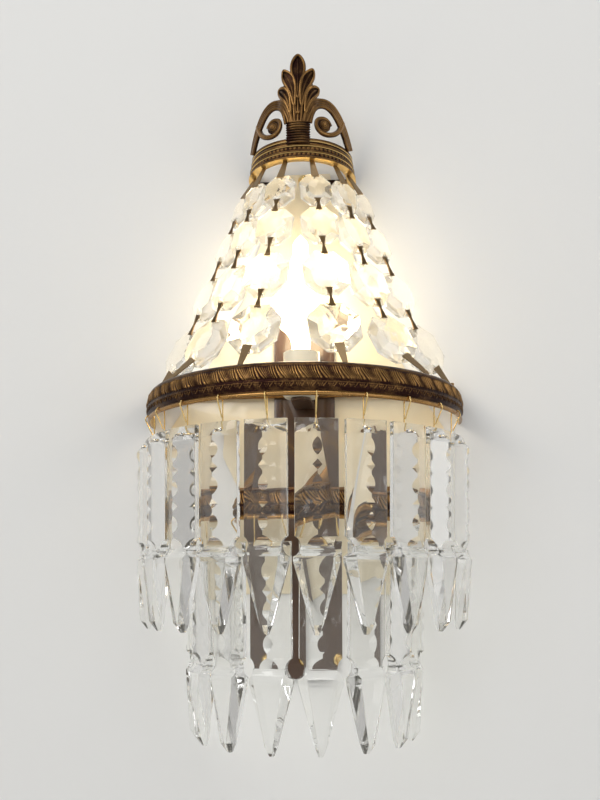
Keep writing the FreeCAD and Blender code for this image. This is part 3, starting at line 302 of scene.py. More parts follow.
@dataclass(frozen=True)
class WornBrassWithPaintedSheen:
    """Brass mixed from a dark and a gold colour by each point's stored share of gold: dark for tarnish and
    painted shade in hollows, gold for rubbed ridges and painted highlights.
    """

    name: str
    dark: tuple = (0.050, 0.028, 0.015)
    gold: tuple = (0.70, 0.47, 0.20)
    scale: float = 90.0
    spread: float = 0.7
    rough: tuple = (0.50, 0.24)
    # name of the point layer that holds the share of gold: painted highlight and painted shade as well as
    # wear
    relief: str = "relief"
    bump: float = 0.25
    bump_depth: float = 0.00012

    def build(self, effects: Effects) -> bpy.types.Material:
        """Make the material; the piece's relief attribute, which holds painted highlight and shade as well as
        wear, picks between dark and gold.

        Args:
            effects: the shared surface effects.

        Returns:
            The material.
        """
        material, tree, surface, place = start_material(self.name)
        lift = tree.add("ShaderNodeAttribute", attribute_name=self.relief).outputs["Fac"]
        sheen_and_tarnish = use_group(tree, effects.tarnish, place, {"Scale": self.scale, "Spread": self.spread})
        tree.join(lift, sheen_and_tarnish.inputs["Relief"])
        # dark colour: tarnish plus painted shade; gold colour: rubbed brass plus painted highlight
        tree.join(tree.mix(sheen_and_tarnish.outputs["Mask"], self.dark, self.gold), surface.inputs["Base Color"])
        tree.join(tree.span(sheen_and_tarnish.outputs["Mask"], *self.rough), surface.inputs["Roughness"])
        surface.inputs["Metallic"].default_value = 1.0
        add_bump(tree, surface, sheen_and_tarnish.outputs["Height"], self.bump, self.bump_depth)
        return material


@dataclass(frozen=True)
class PlainMetal:
    """A metal with fine drawn or brushed marks and soft clouds of tarnish."""

    name: str
    low: tuple
    high: tuple
    scale: float = 300.0
    stretch: tuple = (1.0, 1.0, 1.0)
    rough: tuple = (0.2, 0.34)
    bump: float = 0.12

    def build(self, effects: Effects) -> bpy.types.Material:
        """Make the material.

        Args:
            effects: the shared surface effects.

        Returns:
            The material.
        """
        material, tree, surface, place = start_material(self.name)
        grain = use_group(tree, effects.grain, place, {"Scale": self.scale, "Stretch": self.stretch})
        tree.join(tree.mix(grain.outputs["Value"], self.low, self.high), surface.inputs["Base Color"])
        tree.join(tree.span(grain.outputs["Value"], *reversed(self.rough)), surface.inputs["Roughness"])
        surface.inputs["Metallic"].default_value = 1.0
        add_bump(tree, surface, grain.outputs["Height"], self.bump, SKIN_DEPTH)
        return material


@dataclass(frozen=True)
class MouldedResin:
    """A moulded or painted surface: little colour change, a fine orange-peel skin."""

    name: str
    low: tuple
    high: tuple
    scale: float = 260.0
    rough: tuple = (0.35, 0.5)
    coat: float = 0.0
    bump: float = 0.1

    def build(self, effects: Effects) -> bpy.types.Material:
        """Make the material.

        Args:
            effects: the shared surface effects.

        Returns:
            The material.
        """
        material, tree, surface, place = start_material(self.name)
        grain = use_group(tree, effects.grain, place, {"Scale": self.scale})
        tree.join(tree.mix(grain.outputs["Value"], self.low, self.high), surface.inputs["Base Color"])
        tree.join(tree.span(grain.outputs["Value"], *self.rough), surface.inputs["Roughness"])
        surface.inputs["Coat Weight"].default_value = self.coat
        add_bump(tree, surface, grain.outputs["Height"], self.bump, SKIN_DEPTH)
        return material


@dataclass(frozen=True)
class CutCrystal:
    """Clear cut glass with slightly wavy pressed faces and a share of milkiness."""

    name: str
    tint: tuple = (0.985, 0.99, 0.985)
    index: float = 1.53
    haze: float = 0.015
    wave_scale: float = 60.0
    wave: float = 0.03
    wave_depth: float = 0.0004
    cloud: float = 0.0
    milk: tuple = (1.0, 0.97, 0.88)
    shadow: tuple = (0.90, 0.90, 0.88)

    def build(self, effects: Effects) -> bpy.types.Material:
        """Make the material.

        Args:
            effects: the shared surface effects.

        Returns:
            The material.
        """
        material, tree, surface, place = start_material(self.name)
        surface.inputs["Base Color"].default_value = (*self.tint, 1.0)
        surface.inputs["Transmission Weight"].default_value = 1.0
        surface.inputs["IOR"].default_value = self.index
        grain = use_group(tree, effects.grain, place, {"Scale": self.wave_scale})
        tree.join(tree.span(grain.outputs["Value"], 0.0, self.haze), surface.inputs["Roughness"])
        add_bump(tree, surface, grain.outputs["Height"], self.wave, self.wave_depth)
        self.let_light_through(tree, surface)
        return material

    def let_light_through(self, tree: NodeTree, surface: bpy.types.Node) -> None:
        """Give the glass a faint milky glow and a light shadow.

        Args:
            tree: the material's tree.
            surface: its shader.
        """
        body = surface.outputs[0]
        if self.cloud:
            milk = tree.add("ShaderNodeBsdfTranslucent", {"Color": (*self.milk, 1.0)})
            blend = tree.add("ShaderNodeMixShader", {0: self.cloud})
            tree.join(body, blend.inputs[1])
            tree.join(milk.outputs[0], blend.inputs[2])
            body = blend.outputs[0]
        clear = tree.add("ShaderNodeBsdfTransparent", {"Color": (*self.shadow, 1.0)})
        pick = tree.add("ShaderNodeMixShader")
        tree.join(tree.add("ShaderNodeLightPath").outputs["Is Shadow Ray"], pick.inputs[0])
        tree.join(body, pick.inputs[1])
        tree.join(clear.outputs[0], pick.inputs[2])
        tree.join(pick.outputs[0], tree.tree.nodes["Material Output"].inputs["Surface"])


@dataclass(frozen=True)
class LitBulb:
    """Frosted bulb glass, lit warm from inside."""

    name: str
    frost: tuple = ((0.97, 0.90, 0.78), (1.0, 0.97, 0.90))
    frost_scale: float = 120.0
    rough: tuple = (0.25, 0.4)
    glow: tuple = (1.0, 0.80, 0.52)
    glow_change: float = 1.06
    strength: float = 13.0
    bump: float = 0.05

    def build(self, effects: Effects) -> bpy.types.Material:
        """Make the material.

        Args:
            effects: the shared surface effects.

        Returns:
            The material.
        """
        material, tree, surface, place = start_material(self.name)
        grain = use_group(tree, effects.grain, place, {"Scale": self.frost_scale})
        tree.join(tree.mix(grain.outputs["Value"], *self.frost), surface.inputs["Base Color"])
        tree.join(tree.span(grain.outputs["Value"], *self.rough), surface.inputs["Roughness"])
        brighter = tuple(min(1.0, part * self.glow_change) for part in self.glow)
        tree.join(tree.mix(grain.outputs["Value"], self.glow, brighter), surface.inputs["Emission Color"])
        surface.inputs["Emission Strength"].default_value = self.strength
        add_bump(tree, surface, grain.outputs["Height"], self.bump, SKIN_DEPTH)
        return material


@dataclass
class Finishes:
    """Every finish of the lamp, built once."""

    effects: Effects = field(default_factory=Effects)
    made: dict = field(default_factory=dict)

    def __post_init__(self) -> None:
        """Build the finishes by the names that the pieces ask for."""
        looks = {
            # ring and crown: dark and gold mixed by the stored share of gold, which paints highlight and
            # shade as well as wear
            "ring": WornBrassWithPaintedSheen("ring_brass", (0.028, 0.011, 0.009), (0.54, 0.30, 0.10), rough=(0.42, 0.2)),
            "crown": WornBrassWithPaintedSheen("crown_brass", (0.024, 0.010, 0.008), (0.44, 0.24, 0.08), 120.0,
                               rough=(0.38, 0.18)),
            # a lit copy of the brass: painted light on the faces that look towards the bulb
            "inside": PlainMetal("bulb_lit_brass", (0.62, 0.40, 0.13), (0.86, 0.62, 0.26), 120.0,
                                 rough=(0.22, 0.38)),
            "bright": PlainMetal("bright_brass", (0.70, 0.48, 0.17), (0.92, 0.70, 0.33), 260.0,
                                 rough=(0.14, 0.3)),
            "dull": PlainMetal("dull_brass", (0.06, 0.038, 0.022), (0.20, 0.13, 0.06), rough=(0.3, 0.5)),
            "link": PlainMetal("link_brass", (0.18, 0.12, 0.06), (0.38, 0.27, 0.15), rough=(0.3, 0.5)),
            "plate": MouldedResin("cream_enamel", (0.80, 0.70, 0.50), (0.86, 0.77, 0.58), 40.0,
                                  (0.26, 0.40), 0.5, 0.04),
            "bar": MouldedResin("bronze_paint", (0.045, 0.022, 0.012), (0.085, 0.042, 0.022), 180.0,
                                (0.28, 0.42), 0.4),
            "crystal": CutCrystal("cut_crystal", cloud=0.03),
            "edge": CutCrystal("crystal_edge", cloud=0.5),
            "bead": CutCrystal("bead_crystal", index=1.56, cloud=0.11),
            "bulb": LitBulb("lit_bulb"),
            "cap": PlainMetal("cap_metal", (0.58, 0.57, 0.54), (0.76, 0.75, 0.72), 200.0,
                              rough=(0.25, 0.4)),
            "filament": PlainMetal("filament_steel", (0.40, 0.36, 0.32), (0.60, 0.55, 0.50), 400.0),
            "holder": MouldedResin("ivory_resin", (0.72, 0.66, 0.52), (0.80, 0.74, 0.61)),
            "block": MouldedResin("white_resin", (0.76, 0.75, 0.71), (0.84, 0.83, 0.79)),
            "lead": MouldedResin("lead_sleeve", (0.60, 0.58, 0.52), (0.70, 0.68, 0.62), 400.0),
        }
        for key, finish in looks.items():
            self.made[key] = finish.build(self.effects)

    def __getitem__(self, key: str) -> bpy.types.Material:
        """The material of one finish."""
        return self.made[key]


# Mesh tools
def add_piece(name: str, mesh_work: bmesh.types.BMesh, materials: list, body: str = "frame",
              crease: float | None = 35.0) -> bpy.types.Object:
    """Turn a finished bmesh into a piece that rides on a body.

    Args:
        name: the piece's name.
        mesh_work: the bmesh, in metres, in place; it is freed.
        materials: its materials, by face index.
        body: the body that it moves with.
        crease: angle in degrees above which edges stay sharp, or None for flat facets.

    Returns:
        The new object.
    """
    mesh = bpy.data.meshes.new(name)
    mesh_work.to_mesh(mesh)
    mesh_work.free()
    for material in materials:
        mesh.materials.append(material)
    if crease is not None:
        mesh.shade_smooth()
        mesh.set_sharp_from_angle(angle=math.radians(crease))
    piece = bpy.data.objects.new(name, mesh)
    bpy.context.scene.collection.objects.link(piece)
    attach(piece, body)
    LOG.info("%s: %d faces on %s", name, len(mesh.polygons), body)
    return piece


def merged_copy(node: bpy.types.Object) -> bmesh.types.BMesh:
    """Copy a CAD node's mesh, with its points merged and its flat parts made one face.

    Args:
        node: the CAD node.

    Returns:
        The clean mesh.
    """
    work = bmesh.new()
    work.from_mesh(node.data)
    bmesh.ops.remove_doubles(work, verts=work.verts, dist=MERGE_DISTANCE)
    bmesh.ops.dissolve_limit(work, angle_limit=math.radians(FLAT_ANGLE), verts=work.verts, edges=work.edges)
    bmesh.ops.recalc_face_normals(work, faces=work.faces)
    return work


def soften(work: bmesh.types.BMesh, width: float, segments: int = 2, sharp: float = 25.0,
           least: float = 0.0, finish: int = -1) -> None:
    """Bevel the sharp edges of a mesh.

    Args:
        work: the mesh.
        width: bevel width in metres.
        segments: steps across the bevel.
        sharp: least angle between faces, in degrees.
        least: edges shorter than this, in metres, are left alone.
        finish: which of the piece's materials the bevels get, or -1 for the same as beside them.
    """
    edges = [edge for edge in work.edges if len(edge.link_faces) == 2 and edge.calc_length() >= least
             and edge.calc_face_angle(0.0) > math.radians(sharp)]
    bmesh.ops.bevel(work, geom=edges, offset=width, offset_type="OFFSET", segments=segments, profile=0.5,
                    affect="EDGES", clamp_overlap=True, material=finish)


def curve_mesh(points: list, radii: list, closed: bool, rings: int = 3, steps: int = 6) -> bpy.types.Mesh:
    """Make a round tube along a smooth curve.

    Args:
        points: places along the curve.
        radii: tube radius at each place.
        closed: whether the curve joins its ends.
        rings: how round the tube is.
        steps: how finely the curve is divided.

    Returns:
        The tube's mesh, with flat caps where it has ends.
    """
    curve = bpy.data.curves.new("guide", "CURVE")
    curve.dimensions = "3D"
    curve.bevel_depth = 1.0
    curve.bevel_resolution = rings
    curve.use_fill_caps = not closed
    spline = curve.splines.new("NURBS")
    spline.points.add(len(points) - 1)
    for target, place, radius in zip(spline.points, points, radii):
        target.co = (*place, 1.0)
        target.radius = radius
    spline.use_cyclic_u = closed
    spline.use_endpoint_u = not closed
    spline.order_u = 4
    spline.resolution_u = steps
    holder = bpy.data.objects.new("guide", curve)
    mesh = bpy.data.meshes.new_from_object(holder)
    bpy.data.objects.remove(holder)
    bpy.data.curves.remove(curve)
    return mesh


def add_tube(work: bmesh.types.BMesh, points: list, radii: list, closed: bool = False) -> None:
    """Add a tube along a curve to a mesh.

    Args:
        work: the mesh.
        points: places along the curve.
        radii: tube radius at each place.
        closed: whether the curve joins its ends.
    """
    mesh = curve_mesh(points, radii, closed)
    work.from_mesh(mesh)
    bpy.data.meshes.remove(mesh)


def add_box(work: bmesh.types.BMesh, size: tuple, middle: tuple) -> None:
    """Add a box to a mesh.

    Args:
        work: the mesh.
        size: the box's three sides, in the mesh's unit.
        middle: where its middle stands.
    """
    corners = bmesh.ops.create_cube(work, size=1.0)["verts"]
    bmesh.ops.scale(work, vec=size, verts=corners)
    bmesh.ops.translate(work, vec=middle, verts=corners)


def add_ball(work: bmesh.types.BMesh, radius: float, middle: tuple, turns: int, rings: int) -> None:
    """Add a ball to a mesh.

    Args:
        work: the mesh.
        radius: the ball's radius, in the mesh's unit.
        middle: where its middle stands.
        turns: faces round it.
        rings: faces from pole to pole.
    """
    skin = bmesh.ops.create_uvsphere(work, u_segments=turns, v_segments=rings, radius=radius)["verts"]
    bmesh.ops.translate(work, vec=middle, verts=skin)


def turned(profile: list, steps: int = 48, centre: tuple = (0.0, 0.0, 0.0)) -> bmesh.types.BMesh:
    """Spin a profile of (radius, height) points about the vertical.

    Args:
        profile: points in metres; the ends lie on the axis or the chain closes itself.
        steps: divisions of the full turn.
        centre: where the axis stands.

    Returns:
        The closed mesh.
    """
    work = bmesh.new()
    points = [work.verts.new((centre[0] + radius, centre[1], centre[2] + height))
              for radius, height in profile]
    chain = [work.edges.new(pair) for pair in zip(points, points[1:])]
    bmesh.ops.spin(work, geom=points + chain, cent=centre, axis=(0, 0, 1), angle=math.tau, steps=steps,
                   use_merge=True, use_duplicate=False)
    bmesh.ops.remove_doubles(work, verts=work.verts, dist=1e-6)
    bmesh.ops.recalc_face_normals(work, faces=work.faces)
    return work


def sweep_half(section: list, steps: int, cuts: int) -> tuple:
    """Spin a closed section of (radius, height) points half a turn round the vertical.

    Args:
        section: the section's points in mm.
        steps: coarse divisions of the half turn.
        cuts: finer divisions of each.

    Returns:
        The mesh, the edges of its first end and the edges of its last end.
    """
    work = bmesh.new()
    corners = [work.verts.new((x * MM, 0, z * MM)) for x, z in section]
    first = [work.edges.new(pair) for pair in zip(corners, corners[1:] + corners[:1])]
    swept = bmesh.ops.spin(work, geom=corners + first, cent=(0, 0, 0), axis=(0, 0, -1), angle=math.pi,
                           steps=steps, use_merge=False, use_duplicate=False)
    last = [item for item in swept["geom_last"] if isinstance(item, bmesh.types.BMEdge)]
    ends = set(first) | set(last)
    long_way = [edge for edge in work.edges if edge not in ends
                and abs(edge.verts[0].co.z - edge.verts[1].co.z) < 1e-7
                and abs(edge.verts[0].co.xy.length - edge.verts[1].co.xy.length) < 1e-6]
    bmesh.ops.subdivide_edges(work, edges=long_way, cuts=cuts, use_grid_fill=True)
    return work, first, last


def grow_loop(work: bmesh.types.BMesh, loop: list) -> tuple:
    """Extrude a loop of edges, without moving it yet.

    Args:
        work: the mesh.
        loop: the loop's edges.

    Returns:
        The new points and the new loop's edges.
    """
    grown = bmesh.ops.extrude_edge_only(work, edges=loop)["geom"]
    tips = {item for item in grown if isinstance(item, bmesh.types.BMVert)}
    ahead = [item for item in grown if isinstance(item, bmesh.types.BMEdge)
             and all(corner in tips for corner in item.verts)]
    return tips, ahead


def bow_place(point: bmesh.types.BMVert) -> tuple:
    """Find where a point of a half-round band stands; its straight ends count as pointing sideways.

    Args:
        point: the point, with the band's axis at the origin.

    Returns:
        Its reach from the axis in mm, and its turn from the front.
    """
    out = min(point.co.y, 0.0)
    return math.hypot(point.co.x, out) / MM, math.atan2(point.co.x, -out)


def push_out(point: bmesh.types.BMVert, turn: float, lift: float) -> None:
    """Move a band's point outwards by a lift in mm."""
    point.co += Vector((math.sin(turn), -math.cos(turn), 0.0)) * lift * MM


def looks_inward(face: bmesh.types.BMFace) -> bool:
    """Whether a face of a half-round band looks towards its axis."""
    middle = face.calc_center_median()
    return face.normal.xy.dot(Vector((middle.x, min(middle.y, 0.0)))) < 0


def store_gold_share(work: bmesh.types.BMesh, value: float) -> bmesh.types.BMLayerItem:
    """Give every point of a mesh the same value in its relief layer: the share of gold, which stands for
    painted highlight and shade as well as wear.

    Args:
        work: the mesh.
        value: the share of gold, 0 to 1.

    Returns:
        The layer that holds the values.
    """
    layer = work.verts.layers.float.get("relief") or work.verts.layers.float.new("relief")
    for point in work.verts:
        point[layer] = value
    return layer


def smooth_step(low: float, high: float, value: float) -> float:
    """Ease from 0 at or below low to 1 at or above high."""
    share = min(1.0, max(0.0, (value - low) / (high - low)))
    return share * share * (3 - 2 * share)


def along_chain(chain: tuple, place: float) -> float:
    """Read a chain of (place, value) pairs at a place.

    Args:
        chain: the pairs, in order of their places.
        place: where it is read.

    Returns:
        The value there, eased between the pairs.
    """
    for (start, first), (end, second) in zip(chain, chain[1:]):
        if place <= end:
            return first + (second - first) * smooth_step(start, end, max(start, place))
    return chain[-1][1]


# Half rings
@dataclass
class EmbossedRing:
    """A half ring of pressed brass band: leaves, a row of flowers, a cove and a rolled lip.

    Sizes are in mm. The offset is how far the band's axis stands off the wall, the drop how far it hangs
    below the frame's origin, and the end how far its two ends stay off the wall. The rows are shares of its
    height, and the chain holds how far its outside stands in at each share.
    """

    name: str
    radius: float
    offset: float
    height: float
    drop: float
    end: float
    wall: float = 1.6
    rim: float = 5.0
    shoulder: float = 6.0
    leaf_pitch: float = 13.2
    groove_pitch: float = 1.5
    leaf_row: tuple = (0.45, 0.90)
    leaf_slant: tuple = (7.5, 2.5)
    flower_row: tuple = (0.21, 0.45)
    cove: float = 0.12
    relief: float = 0.85
    ground: float = 0.4
    rows: int = 34
    along_start: float = 500.0
    strap_back: float = 4.0
    strap_size: tuple = (2.5, 9.0)
    chain: tuple = ((0.0, 2.4), (0.04, 1.2), (0.10, 1.25), (0.13, 2.3), (0.17, 2.4), (0.21, 1.3),
                    (0.25, 0.75), (0.43, 0.45), (0.46, 0.9), (0.52, 0.5), (0.80, 1.6), (0.9, 2.7),
                    (0.97, 4.3), (1.0, 6.0))

    def outer_profile(self) -> list:
        """Lay out the outside, from the bottom lip to the top rim.

        Returns:
            Its points as (radius, height) in mm; the chain holds how far each stands in.
        """
        shares = [index / self.rows for index in range(self.rows + 1)]
        return [(self.radius - along_chain(self.chain, share), share * self.height) for share in shares]

    def inner_profile(self) -> list:
        """Lay out the inside, from the rim's back edge down to the bottom.

        Returns:
            Its points as (radius, height) in mm.
        """
        top, radius, wall = self.height, self.radius, self.wall
        back = radius - self.shoulder - self.rim
        belly, foot = radius - wall - 0.4, radius - wall - 2.0
        return [(back + 0.3, top), (back, top - 0.4), (back, top - wall + 0.3), (back + 0.3, top - wall),
                (radius - self.shoulder - wall * 0.4, top - wall), (foot - 0.1, top * 0.88 - wall * 0.6),
                (belly, top * 0.66), (belly, top * 0.41), (foot, top * 0.27), (foot, 0.3),
                (radius - 3.2, 0.0)]

    def leaf_relief(self, along: float, up: float) -> float:
        """Height of the slanted, fluted leaves.

        Args:
            along: distance along the band in mm.
            up: height in their row, 0 to 1.

        Returns:
            The relief, 0 to 1.
        """
        slant, curl = self.leaf_slant
        bend = along + slant * up - curl * up * up
        leaf = (bend / self.leaf_pitch) % 1.0
        fan = bend + 1.5 * math.sin(math.tau * leaf) * (1 - up)
        groove = 0.5 + 0.5 * math.cos(math.tau * fan / self.groove_pitch)
        crown = min(1.0, 4.0 * min(leaf, 1 - leaf) + 0.1)
        edge = smooth_step(0.0, 0.12, up) * (1 - smooth_step(0.78 - 0.25 * abs(leaf - 0.5), 1.0, up))
        return edge * (0.15 + 0.85 * groove) * (0.5 + 0.5 * crown)

    def flower_relief(self, along: float, share: float) -> float:
        """Height of the small flowers and of the vine that winds between them.

        Args:
            along: distance along the band in mm.
            share: height on the band, 0 to 1.

        Returns:
            The relief, 0 to 1.
        """
        low, high = self.flower_row
        up = (share - (low + high) / 2) * self.height
        pitch = self.leaf_pitch / 2
        across = (along % pitch) - pitch / 2
        reach, turn = math.hypot(across, up), math.atan2(up, across)
        flower = max(0.0, 1 - abs(reach - 1.25) / 0.75) * (0.55 + 0.45 * math.cos(6 * turn))
        core = max(0.0, 1 - reach / 0.6)
        wind = 1.5 * math.sin(math.tau * along / pitch)
        vine = max(0.0, 1 - abs(up - wind) / 0.6) * smooth_step(1.8, 2.4, reach)
        highest = max(flower, core, vine * 0.9)
        return highest * smooth_step(low, low + 0.03, share) * (1 - smooth_step(high - 0.025, high, share))

    def relief_at(self, along: float, share: float) -> float:
        """Height of the ornament.

        Args:
            along: distance along the band in mm.
            share: height on the band, 0 to 1.

        Returns:
            The relief, 0 to 1.
        """
        low, high = self.leaf_row
        if low < share < high:
            return self.leaf_relief(along, (share - low) / (high - low))
        if self.flower_row[0] < share <= low:
            return self.flower_relief(along, share)
        return 0.0

    def wear_and_painted_sheen_at(self, share: float, relief: float) -> float:
        """How much gold the metal shows: partly rubbed wear, partly painted highlight and painted shade.

        Args:
            share: height on the band, 0 to 1.
            relief: height of the ornament there, 0 to 1.

        Returns:
            The share of gold, 0 to 1: gold on the lip and the raised leaves for wear and painted highlight,
                dark in the cove and under the rim as painted shade.
        """
        if share < self.cove:
            return 0.72
        if share < self.flower_row[0]:
            return 0.04
        if share > self.leaf_row[1]:
            return 0.08
        return 0.01 + 0.85 * relief ** 2.4

    def press(self, work: bmesh.types.BMesh, outer: list) -> None:
        """Raise the ornament on the band's outside and store its share of gold, which holds painted highlight
        and shade as well as wear.

        Args:
            work: the band's mesh, about the origin.
            outer: the outside's points as (radius, height) in mm.
        """
        layer = store_gold_share(work, 0.2)
        skin_at = {round(height, 5): radius for radius, height in outer}
        for point in work.verts:
            height = point.co.z / MM
            reach, turn = bow_place(point)
            skin = skin_at.get(round(height, 5))
            if skin is None or abs(reach - skin) > 0.05:
                continue
            share = height / self.height
            relief = self.relief_at(turn * self.radius + self.along_start, share)
            # share of gold: painted highlight on the lip and leaf tops, painted shade in the cove and under
            # the rim
            point[layer] = self.wear_and_painted_sheen_at(share, relief)
            sunk = self.ground if self.flower_row[0] < share < self.leaf_row[1] else 0.0
            push_out(point, turn, min(relief * self.relief - sunk, self.radius - 0.05 - reach))

    def build(self, finishes: Finishes) -> None:
        """Spin the band, press its ornament and add the strap.

        Args:
            finishes: the lamp's materials.
        """
        outer = self.outer_profile()
        work, first, last = sweep_half(outer + self.inner_profile(), int(self.radius * 1.2), 9)
        for loop in (first, last):
            tips, rim_edges = grow_loop(work, loop)
            for tip in tips:
                tip.co.y = (self.offset - self.end) * MM
            bmesh.ops.contextual_create(work, geom=rim_edges)
        self.press(work, outer)
        bmesh.ops.recalc_face_normals(work, faces=work.faces)
        # faces that look inwards, towards the bulb, get the lit copy of the brass: painted light
        for face in work.faces:
            face.material_index = 1 if looks_inward(face) else 0
        bmesh.ops.translate(work, vec=(0, -self.offset * MM, -self.drop * MM), verts=work.verts)
        looks = [finishes["ring"], finishes["inside"]]
        band = add_piece(self.name + "_band", work, looks, crease=60.0)
        strap = self.build_strap(finishes)
        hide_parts(self.name)
        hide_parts(self.name)

    def build_strap(self, finishes: Finishes) -> bpy.types.Object:
        """Make the flat strap across the back of the ring.

        Args:
            finishes: the lamp's materials.

        Returns:
            The strap.
        """
        thick, tall = self.strap_size
        rise = self.height - self.wall
        half = self.radius - self.shoulder
        work = bmesh.new()
        add_box(work, (half * 2 * MM, thick * MM, tall * MM),
                (0, (-self.strap_back - thick / 2) * MM, (rise + tall / 2 - self.drop) * MM))
        long_way = [edge for edge in work.edges if edge.calc_length() > half * MM]
        bmesh.ops.subdivide_edges(work, edges=long_way, cuts=24)
        soften(work, 0.5 * MM, sharp=60.0)
        store_gold_share(work, 0.42)
        return add_piece(self.name + "_strap", work, [finishes["ring"]])


# Crown
@dataclass
class Crown:
    """The crown: a ribbed and beaded band, a palmette on its neck and two scrolls.

    Sizes are in mm. The bottom is the band's height in the frame, and the offset is how far its axis stands
    off the wall. The ribs and the bead rows are shares of the band's height. The leaves, arm, curl and boss
    are drawn flat, as the way round and the height above the band, for the right side.
    """

    bottom: float = 183.0
    height: float = 16.0
    radius: float = 40.0
    taper: float = 2.4
    offset: float = 18.0
    wall: float = 1.6
    rim: float = 7.0
    plate: float = 1.0
    rows: int = 44
    side_steps: int = 6
    along_start: float = 300.0
    ribs: tuple = ((0.06, 0.06), (0.36, 0.05), (0.70, 0.08), (0.93, 0.07))
    rib_height: float = 0.9
    bead_rows: tuple = ((0.13, 0.30), (0.42, 0.60))
    bead_size: tuple = (1.25, 1.2)
    bead_pitch: float = 3.4
    bead_height: float = 0.55
    lug: tuple = (14.0, 1.6, 8.0)
    inset: float = 1.2
    lean_span: tuple = (9.0, 18.0)
    scroll_inset: float = 1.1
    scroll_lean: float = 3.2
    scroll_height: float = 34.0
    neck_half: float = 8.3
    foot: tuple = (13.0, 3.0, 12.5)
    foot_place: tuple = (0.0, -51.86, 2.75)
    middle_leaf: tuple = ((0.0, 64.4), 5.1, (0.0, 30.0), 0.0, 0.0)
    side_leaves: tuple = (((11.2, 53.2), 4.2, (2.6, 24.0), -2.6, 0.25),
                          ((16.0, 40.8), 3.8, (5.4, 18.5), -2.9, 0.5))
    arm: tuple = ((6.2, 11.5), (7.6, 21.0), (13.5, 29.2), (23.5, 30.6), (33.0, 24.5), (40.5, 13.5),
                  (47.4, 0.6))
    reeds: tuple = ((-3.6, 1.4, 0.5), (-1.3, 1.6, 0.1), (1.1, 1.6, 0.1), (3.4, 1.4, 0.5))
    curl: tuple = ((39.5, 20.0), (35.0, 11.5), (28.5, 6.0), (20.5, 3.8), (13.6, 7.0), (12.6, 13.2),
                   (17.4, 18.2), (24.0, 17.2), (25.6, 12.6))
    boss: tuple = (20.0, 12.0)
    boss_rings: tuple = ((4.7, 0.9, 0.3), (3.1, 0.75, 0.8), (1.6, 0.7, 1.2))

    def rib_at(self, share: float) -> float:
        """How far the ribs bulge at a height on the band; both run from 0 to 1."""
        highest = max(1 - ((share - middle) / half) ** 2 for middle, half in self.ribs)
        return max(0.0, highest) ** 0.5

    def bead_at(self, along: float, share: float) -> float:
        """Height of the beads between the ribs.

        Args:
            along: distance along the band in mm.
            share: height on the band, 0 to 1.

        Returns:
            The relief, 0 to 1.
        """
        for low, high in self.bead_rows:
            if low < share < high:
                across = (along % self.bead_pitch) - self.bead_pitch / 2
                up = (share - (low + high) / 2) * self.height
                return max(0.0, 1 - (across / self.bead_size[0]) ** 2 - (up / self.bead_size[1]) ** 2) ** 0.5
        return 0.0

    def press(self, work: bmesh.types.BMesh) -> None:
        """Raise the ribs and beads on the band's outside, and store a painted highlight on their tops as the
        share of gold.

        Args:
            work: the band's mesh, about the origin.
        """
        layer = store_gold_share(work, 0.2)
        for point in work.verts:
            height = point.co.z / MM
            share = height / self.height
            reach, turn = bow_place(point)
            if abs(reach - (self.radius - self.taper * share)) > 0.06 or height < 0.05 or share > 0.995:
                continue
            along = turn * self.radius + math.copysign(max(point.co.y, 0.0) / MM, point.co.x)
            rib, bead = self.rib_at(share), self.bead_at(along + self.along_start, share)
            # painted highlight: the tops of the ribs and beads get gold, the rest stays dark
            point[layer] = 0.02 + 0.40 * rib ** 3 + 0.42 * bead
            lift = rib * self.rib_height + bead * self.bead_height - self.rib_height
            push_out(point, turn, min(lift, self.radius - 0.02 - reach))

    def build_band(self, finishes: Finishes) -> None:
        """Spin the band's bow, run its sides back to the plate and press its ornament.

        Args:
            finishes: the lamp's materials.
        """
        shares = [index / self.rows for index in range(self.rows + 1)]
        outer = [(self.radius - self.taper * share, share * self.height) for share in shares]
        top_in = self.radius - self.taper - self.wall
        low_in = self.radius - self.taper * 0.3 - self.wall
        back = self.radius - self.rim
        inner = [(top_in, self.height), (low_in, self.wall * 2), (low_in - 0.6, self.wall),
                 (back + 0.3, self.wall), (back, self.wall - 0.3), (back, 0.3), (back + 0.3, 0.0),
                 (self.radius - 2.4, 0.0)]
        work, first, last = sweep_half(outer + inner, 50, 7)
        step = (self.offset - self.plate) / self.side_steps * MM
        for loop in (first, last):
            for _ in range(self.side_steps):
                tips, loop = grow_loop(work, loop)
                bmesh.ops.translate(work, vec=(0, step, 0), verts=list(tips))
            bmesh.ops.contextual_create(work, geom=loop)
        sides = [edge for edge in work.edges if abs(edge.verts[0].co.y - edge.verts[1].co.y) > step / 2
                 and (edge.verts[0].co.xz - edge.verts[1].co.xz).length < 1e-7]
        bmesh.ops.subdivide_edges(work, edges=sides, cuts=7, use_grid_fill=True)
        self.press(work)
        bmesh.ops.recalc_face_normals(work, faces=work.faces)
        # faces that look inwards or down, towards the bulb, get the lit copy of the brass: painted light
        for face in work.faces:
            face.material_index = 1 if looks_inward(face) or face.normal.z < -0.7 else 0
        bmesh.ops.translate(work, vec=(0, -self.offset * MM, self.bottom * MM), verts=work.verts)
        self.add_lugs(work)
        looks = [finishes["crown"], finishes["inside"]]
        band = add_piece("crown_band_pressed", work, looks, crease=50.0)
        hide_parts("crown_band")

    def add_lugs(self, work: bmesh.types.BMesh) -> None:
        """Add the two flat lugs that are screwed to the plate.

        Args:
            work: the band's mesh, in place.
        """
        inside, thick, tall = self.lug
        outside = self.radius - 1.5
        for side in Side:
            middle = (side.value * (outside + inside) / 2, -self.plate - thick / 2, self.bottom + tall / 2)
            add_box(work, tuple(value * MM for value in (outside - inside, thick, tall)),
                    tuple(value * MM for value in middle))

